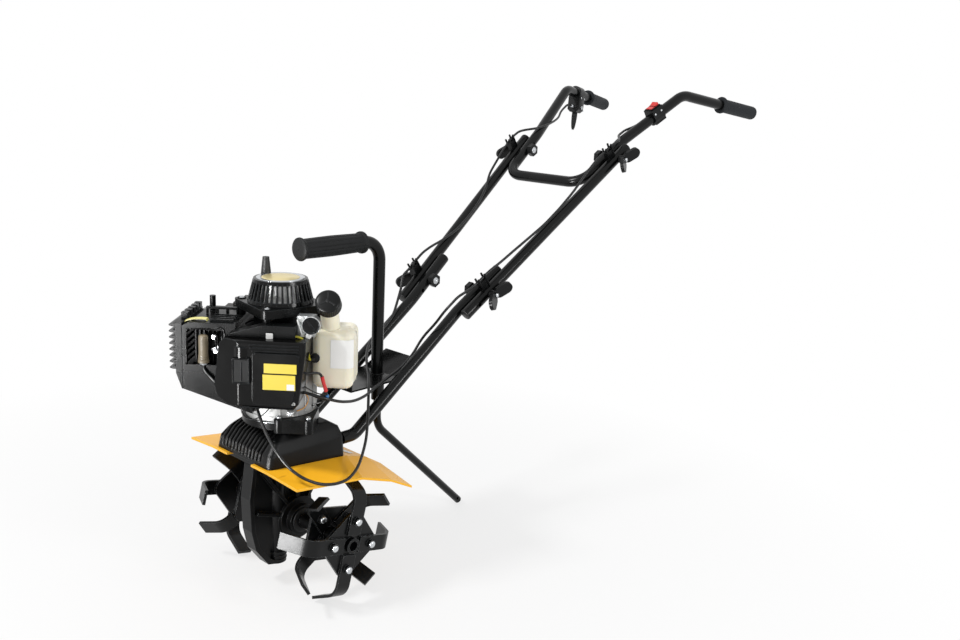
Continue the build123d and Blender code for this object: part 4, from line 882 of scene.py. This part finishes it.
plug_place, plug_way = (-85, 46.6, 246), (0, -0.4, -1)
stop_plug_profile = [(0, 0), (2.8, 0), (2.8, 6), (2, 7), (0, 7)]
pickup_points = [(-36, 48.5, 216), (-45, 41, 218.5), (-50, 34.5, 224), (-52, 31.5, 232), (-49, 35.5, 241),
                 (-42, 44, 247)]
pickup_r = 0.8
red_sleeve = finish("red_shrink_sleeve", "#D92B2E", "#BE2023", rough=0.4, grain_mm=0.8,
                    grain_depth_mm=0.02, edge_mm=0.3)[0]
blue_plug = finish("blue_plug", "#2F7FC4", "#256BA8", rough=0.35, grain_mm=0.8, grain_depth_mm=0.01,
                   edge_mm=0.3)[0]
orange_pvc = finish("orange_pvc_sheath", "#E8A33A", "#D9922C", rough=0.35, grain_mm=0.8,
                    grain_depth_mm=0.01, edge_mm=0.3)[0]
bm = bmesh.new()
for points, radius, sides in wire_runs:
    add_wire(bm, points, radius, sides)
keep("engine_wires", bm, pvc, "chassis", engine)
bm = bmesh.new()
add_wire(bm, sleeve_points, sleeve_r, 12)
keep("stop_wire_sleeve", bm, red_sleeve, "chassis", engine)
bm = bmesh.new()
add_turned(bm, pointing(plug_place, plug_way), stop_plug_profile, 16)
keep("stop_wire_plug", bm, blue_plug, "chassis", engine)
bm = bmesh.new()
add_wire(bm, pickup_points, pickup_r, 8)
keep("pickup_wire", bm, orange_pvc, "chassis", engine)

# Cylinder: finned aluminium casting, coloured black like the gear case. Its fins show in the open bay round
# the spark plug, with the zinc earth terminal and two black leads.
fin_count, fin_start, fin_pitch, fin_t = 10, 64, 7, 2.2
fin = (-45, 46, 268, 350)
cap_nut_place, cap_nut_way = (94, 51, 338), (0.2, 1, 0.1)
cap_nut_profile = [(0, 0), (3.2, 0.4), (5.1, 2.4), (5.9, 5), (5.1, 7.6), (3.2, 9.6), (0, 10)]
terminal_place, terminal_way = (95, 49, 314), (0.1, 1, 0.3)
terminal_profile = [(0, 0), (5.5, 0), (5.5, 2), (3.4, 2.2), (3.2, 5), (0, 5.4)]
tag_place, tag_turn, tag = (96, 49, 318), 0.4, (-6, 6, 0, 2, -1.5, 1.5)
plug_x, plug_y, plug_hex_z = 112, 59.8, 299
plug_hex_profile = [(0, 0), (6.6, 0), (6.6, 5), (5, 7), (3.4, 8), (0, 8)]
lead_runs = (([(94, 52, 333), (95, 51, 326), (93, 50, 319), (88, 50, 306), (84, 51, 296)], 1.4, 8),
             ([(112, 60, 292), (111, 62, 286), (107, 63.5, 280), (101, 64, 274), (95, 65, 268),
               (90, 66, 262)], 2.4, 12))
dress(cast_black, "cylinder")
bm = bmesh.new()
for k in range(fin_count):
    x = fin_start + fin_pitch * k
    add_block(bm, Matrix.Identity(4), x, x + fin_t, *fin)
keep("cylinder_fins", bm, cast_black, "chassis", engine)
bm = bmesh.new()
add_turned(bm, pointing(cap_nut_place, cap_nut_way), cap_nut_profile, 24)
add_turned(bm, pointing(terminal_place, terminal_way), terminal_profile, 18)
add_block(bm, Matrix.Translation(tag_place) @ Matrix.Rotation(tag_turn, 4, "Y"), *tag)
add_turned(bm, pointing((plug_x, plug_y, plug_hex_z), (0, 0, -1)), plug_hex_profile, 6)
keep("plug_and_terminal", bm, zinc, "chassis", engine, crease=35)
bm = bmesh.new()
for points, radius, sides in lead_runs:
    add_wire(bm, points, radius, sides)
keep("ignition_leads", bm, pvc, "chassis", engine)

# Spark plug boot: a moulded sleeve of beige silicone rubber with ribs at its foot, pushed over the
# plug. It is soft, half matt and slightly dirty.
boot_z = 298
boot_profile = [(0, -2), (8.6, -2), (9.2, 0), (8.6, 3), (7.9, 3.4), (8.6, 4.4), (8.6, 6.6), (7.9, 7.4),
                (8.3, 8.4), (8.3, 10.4), (7.6, 11.4), (7.6, 40), (6.4, 43), (4, 44), (0, 44.2)]
silicone = finish("beige_silicone", "#9A8C72", "#6F6552", rough=0.45, grain_mm=1.0, grain_depth_mm=0.05,
                  edge_mm=1.5, patch_mm=10.0)[0]
dress(silicone, "spark_plug_boot")
bm = bmesh.new()
add_turned(bm, pointing((plug_x, plug_y, boot_z), (0, 0, 1)), boot_profile, 32)
keep("boot_ribs", bm, silicone, "chassis", engine, crease=60)

# Shroud trim: a strip of pale yellow tape laid over its top, satin and a little curled, and the
# glossy bead down the front of its open bay.
tape_y, tape_width, tape_t, tape_lean = 50, 12, 1.4, 0.2
tape_line = [(144, 361.0), (138, 363.6), (130, 365.2), (120, 366.0), (110, 365.6), (108, 362.4)]
front_bead = [(139.5, 60.2, 291), (139.5, 60.4, 315), (139.5, 60.4, 340), (137.5, 60.3, 351)]
top_bead = [(78.5, 60.2, 291), (78.5, 60.3, 350), (100, 60.3, 351.8), (137.5, 60.3, 351)]
front_bead_r, top_bead_r = 1.8, 1.4
pale_tape = finish("pale_yellow_tape", "#E6E08A", "#DAD278", rough=0.4, grain_mm=0.6, grain_depth_mm=0.01,
                   edge_mm=0.3)[0]
bm = bmesh.new()
add_prism(bm, Matrix.Translation((0, tape_y, 0)) @ stand_up,
          tape_line + [(x - tape_lean, z - tape_t) for x, z in reversed(tape_line)], tape_width)
keep("shroud_strip", bm, pale_tape, "chassis", engine)
bm = bmesh.new()
add_wire(bm, front_bead, front_bead_r, 10)
add_wire(bm, top_bead, top_bead_r, 10)
keep("bay_bead", bm, gloss_black, "chassis", engine)

# Muffler: pressed steel blacked by heat, brownish and dull, with a folded seam, four hexagonal
# zinc bolts, stiffening ribs and a short outlet.
muffler_x, muffler_z, muffler_seam_y, muffler_seam_r = 96, 289, -84, 1.4
muffler_width, muffler_height, muffler_corner = 88.6, 86.6, 2
outlet_place, outlet_profile = (74, -104, 266), [(6.2, -1), (8, -1), (8, 13), (6.4, 13), (6.2, -1)]
muffler_rib_places, muffler_rib_width = (84, 96, 108, 120), 5
muffler_rib = (-105.6, -103.5, 262, 316)
muffler_bolt_x, muffler_bolt_y, muffler_bolt_z = (60, 132), -103.8, (254, 324)
muffler_bolt_profile = [(0, 0), (6.4, 0), (6.4, 4.6), (5.4, 5.4), (0, 5.4)]
dark_exhaust = finish("heat_blacked_steel", "#1C1A19", "#2A2522", rough=0.5, grain_mm=1.2,
                      grain_depth_mm=0.05, edge_mm=1.0, metal=0.4, patch_mm=30.0)[0]
dress(dark_exhaust, "muffler")
bm = bmesh.new()
seam = [(x + muffler_x, muffler_seam_y, z + muffler_z)
        for x, z in rounded_outline(muffler_width, muffler_height, muffler_corner, 3)]
add_wire(bm, seam + seam[:1], muffler_seam_r, 8, 2)
add_turned(bm, pointing(outlet_place, (0, -1, 0)), outlet_profile, 28)
for x in muffler_rib_places:
    add_block(bm, Matrix.Identity(4), x, x + muffler_rib_width, *muffler_rib)
keep("muffler_details", bm, dark_exhaust, "chassis", engine, crease=40)
bm = bmesh.new()
for z in muffler_bolt_z:
    for x in muffler_bolt_x:
        add_turned(bm, pointing((x, muffler_bolt_y, z), (0, -1, 0)), muffler_bolt_profile, 6, False)
keep("muffler_bolts", bm, zinc, "chassis", engine)

# Gear case fittings: three rings turned into the black cap of the worm tube, and on each side of
# the case a lipped rubber seal pressed in round the axle, duller than the casting.
worm_x, ring_heights = 34, (-55.5, -62.5, -69.5)
worm_ring_profile = [(15, -0.9), (17.7, -0.9), (18, 0), (17.7, 0.9), (15, 0.9), (15, -0.9)]
seal_y = 30.8
seal_profile = [(14, 0), (22, 0), (22, 1.8), (20.6, 2.6), (14, 2.8), (14, 0)]
bm = bmesh.new()
for height in ring_heights:
    add_turned(bm, Matrix.Translation((worm_x, 0, height)), worm_ring_profile, 48)
keep("worm_cap_rings", bm, cast_black, "chassis", crease=50)
bm = bmesh.new()
for side in (1, -1):
    add_turned(bm, pointing((0, side * seal_y, 0), (0, side, 0)), seal_profile, 48)
keep("axle_seals", bm, rubber, "chassis", crease=50)

# Welds: beads laid round the foot of the carry handle, round the stake socket and on its gusset,
# coated with the frame. Nine ripples run round each bead.
bead_rings = ((-193, 222.4, 11.6, 1.7), (-196, 218.8, 12.4, 1.5))
bead_ripples, ripple_height, bead_points = 9, 0.35, 40
gusset_bead_y, gusset_bead_z, gusset_bead_r, gusset_bead_xs = 2.8, 218.7, 1.3, (-183, -170, -154)
bm = bmesh.new()
for x, z, r, thick in bead_rings:
    ring = []
    for k in range(bead_points + 1):
        a = 2 * math.pi * k / bead_points
        ring.append((x + r * math.cos(a), r * math.sin(a), z + ripple_height * math.sin(bead_ripples * a)))
    add_wire(bm, ring, thick, 8, 2)
for y in (-gusset_bead_y, gusset_bead_y):
    add_wire(bm, [(x, y, gusset_bead_z) for x in gusset_bead_xs], gusset_bead_r, 8, 4)
keep("welds", bm, powder_coat, "chassis")

# Deck sticker: a small label of plain white paper with rounded corners, stuck flat on the slope of
# the deck behind the gear cover, where it shows as a pale spot on the yellow.
sticker_place = (-80, 50, 111.3)
deck_fall, deck_run, sticker_turn = 15, 46, math.radians(20)
sticker_width, sticker_length, sticker_corner, sticker_t = 15, 21, 2, 0.3
lying = Matrix.Rotation(-math.atan2(deck_fall, deck_run), 4, "Y") @ Matrix.Rotation(sticker_turn, 4, "Z")
bm = bmesh.new()
add_prism(bm, Matrix.Translation(sticker_place) @ lying,
          rounded_outline(sticker_width, sticker_length, sticker_corner, 3), sticker_t)
keep("deck_sticker", bm, blank_label, "chassis")
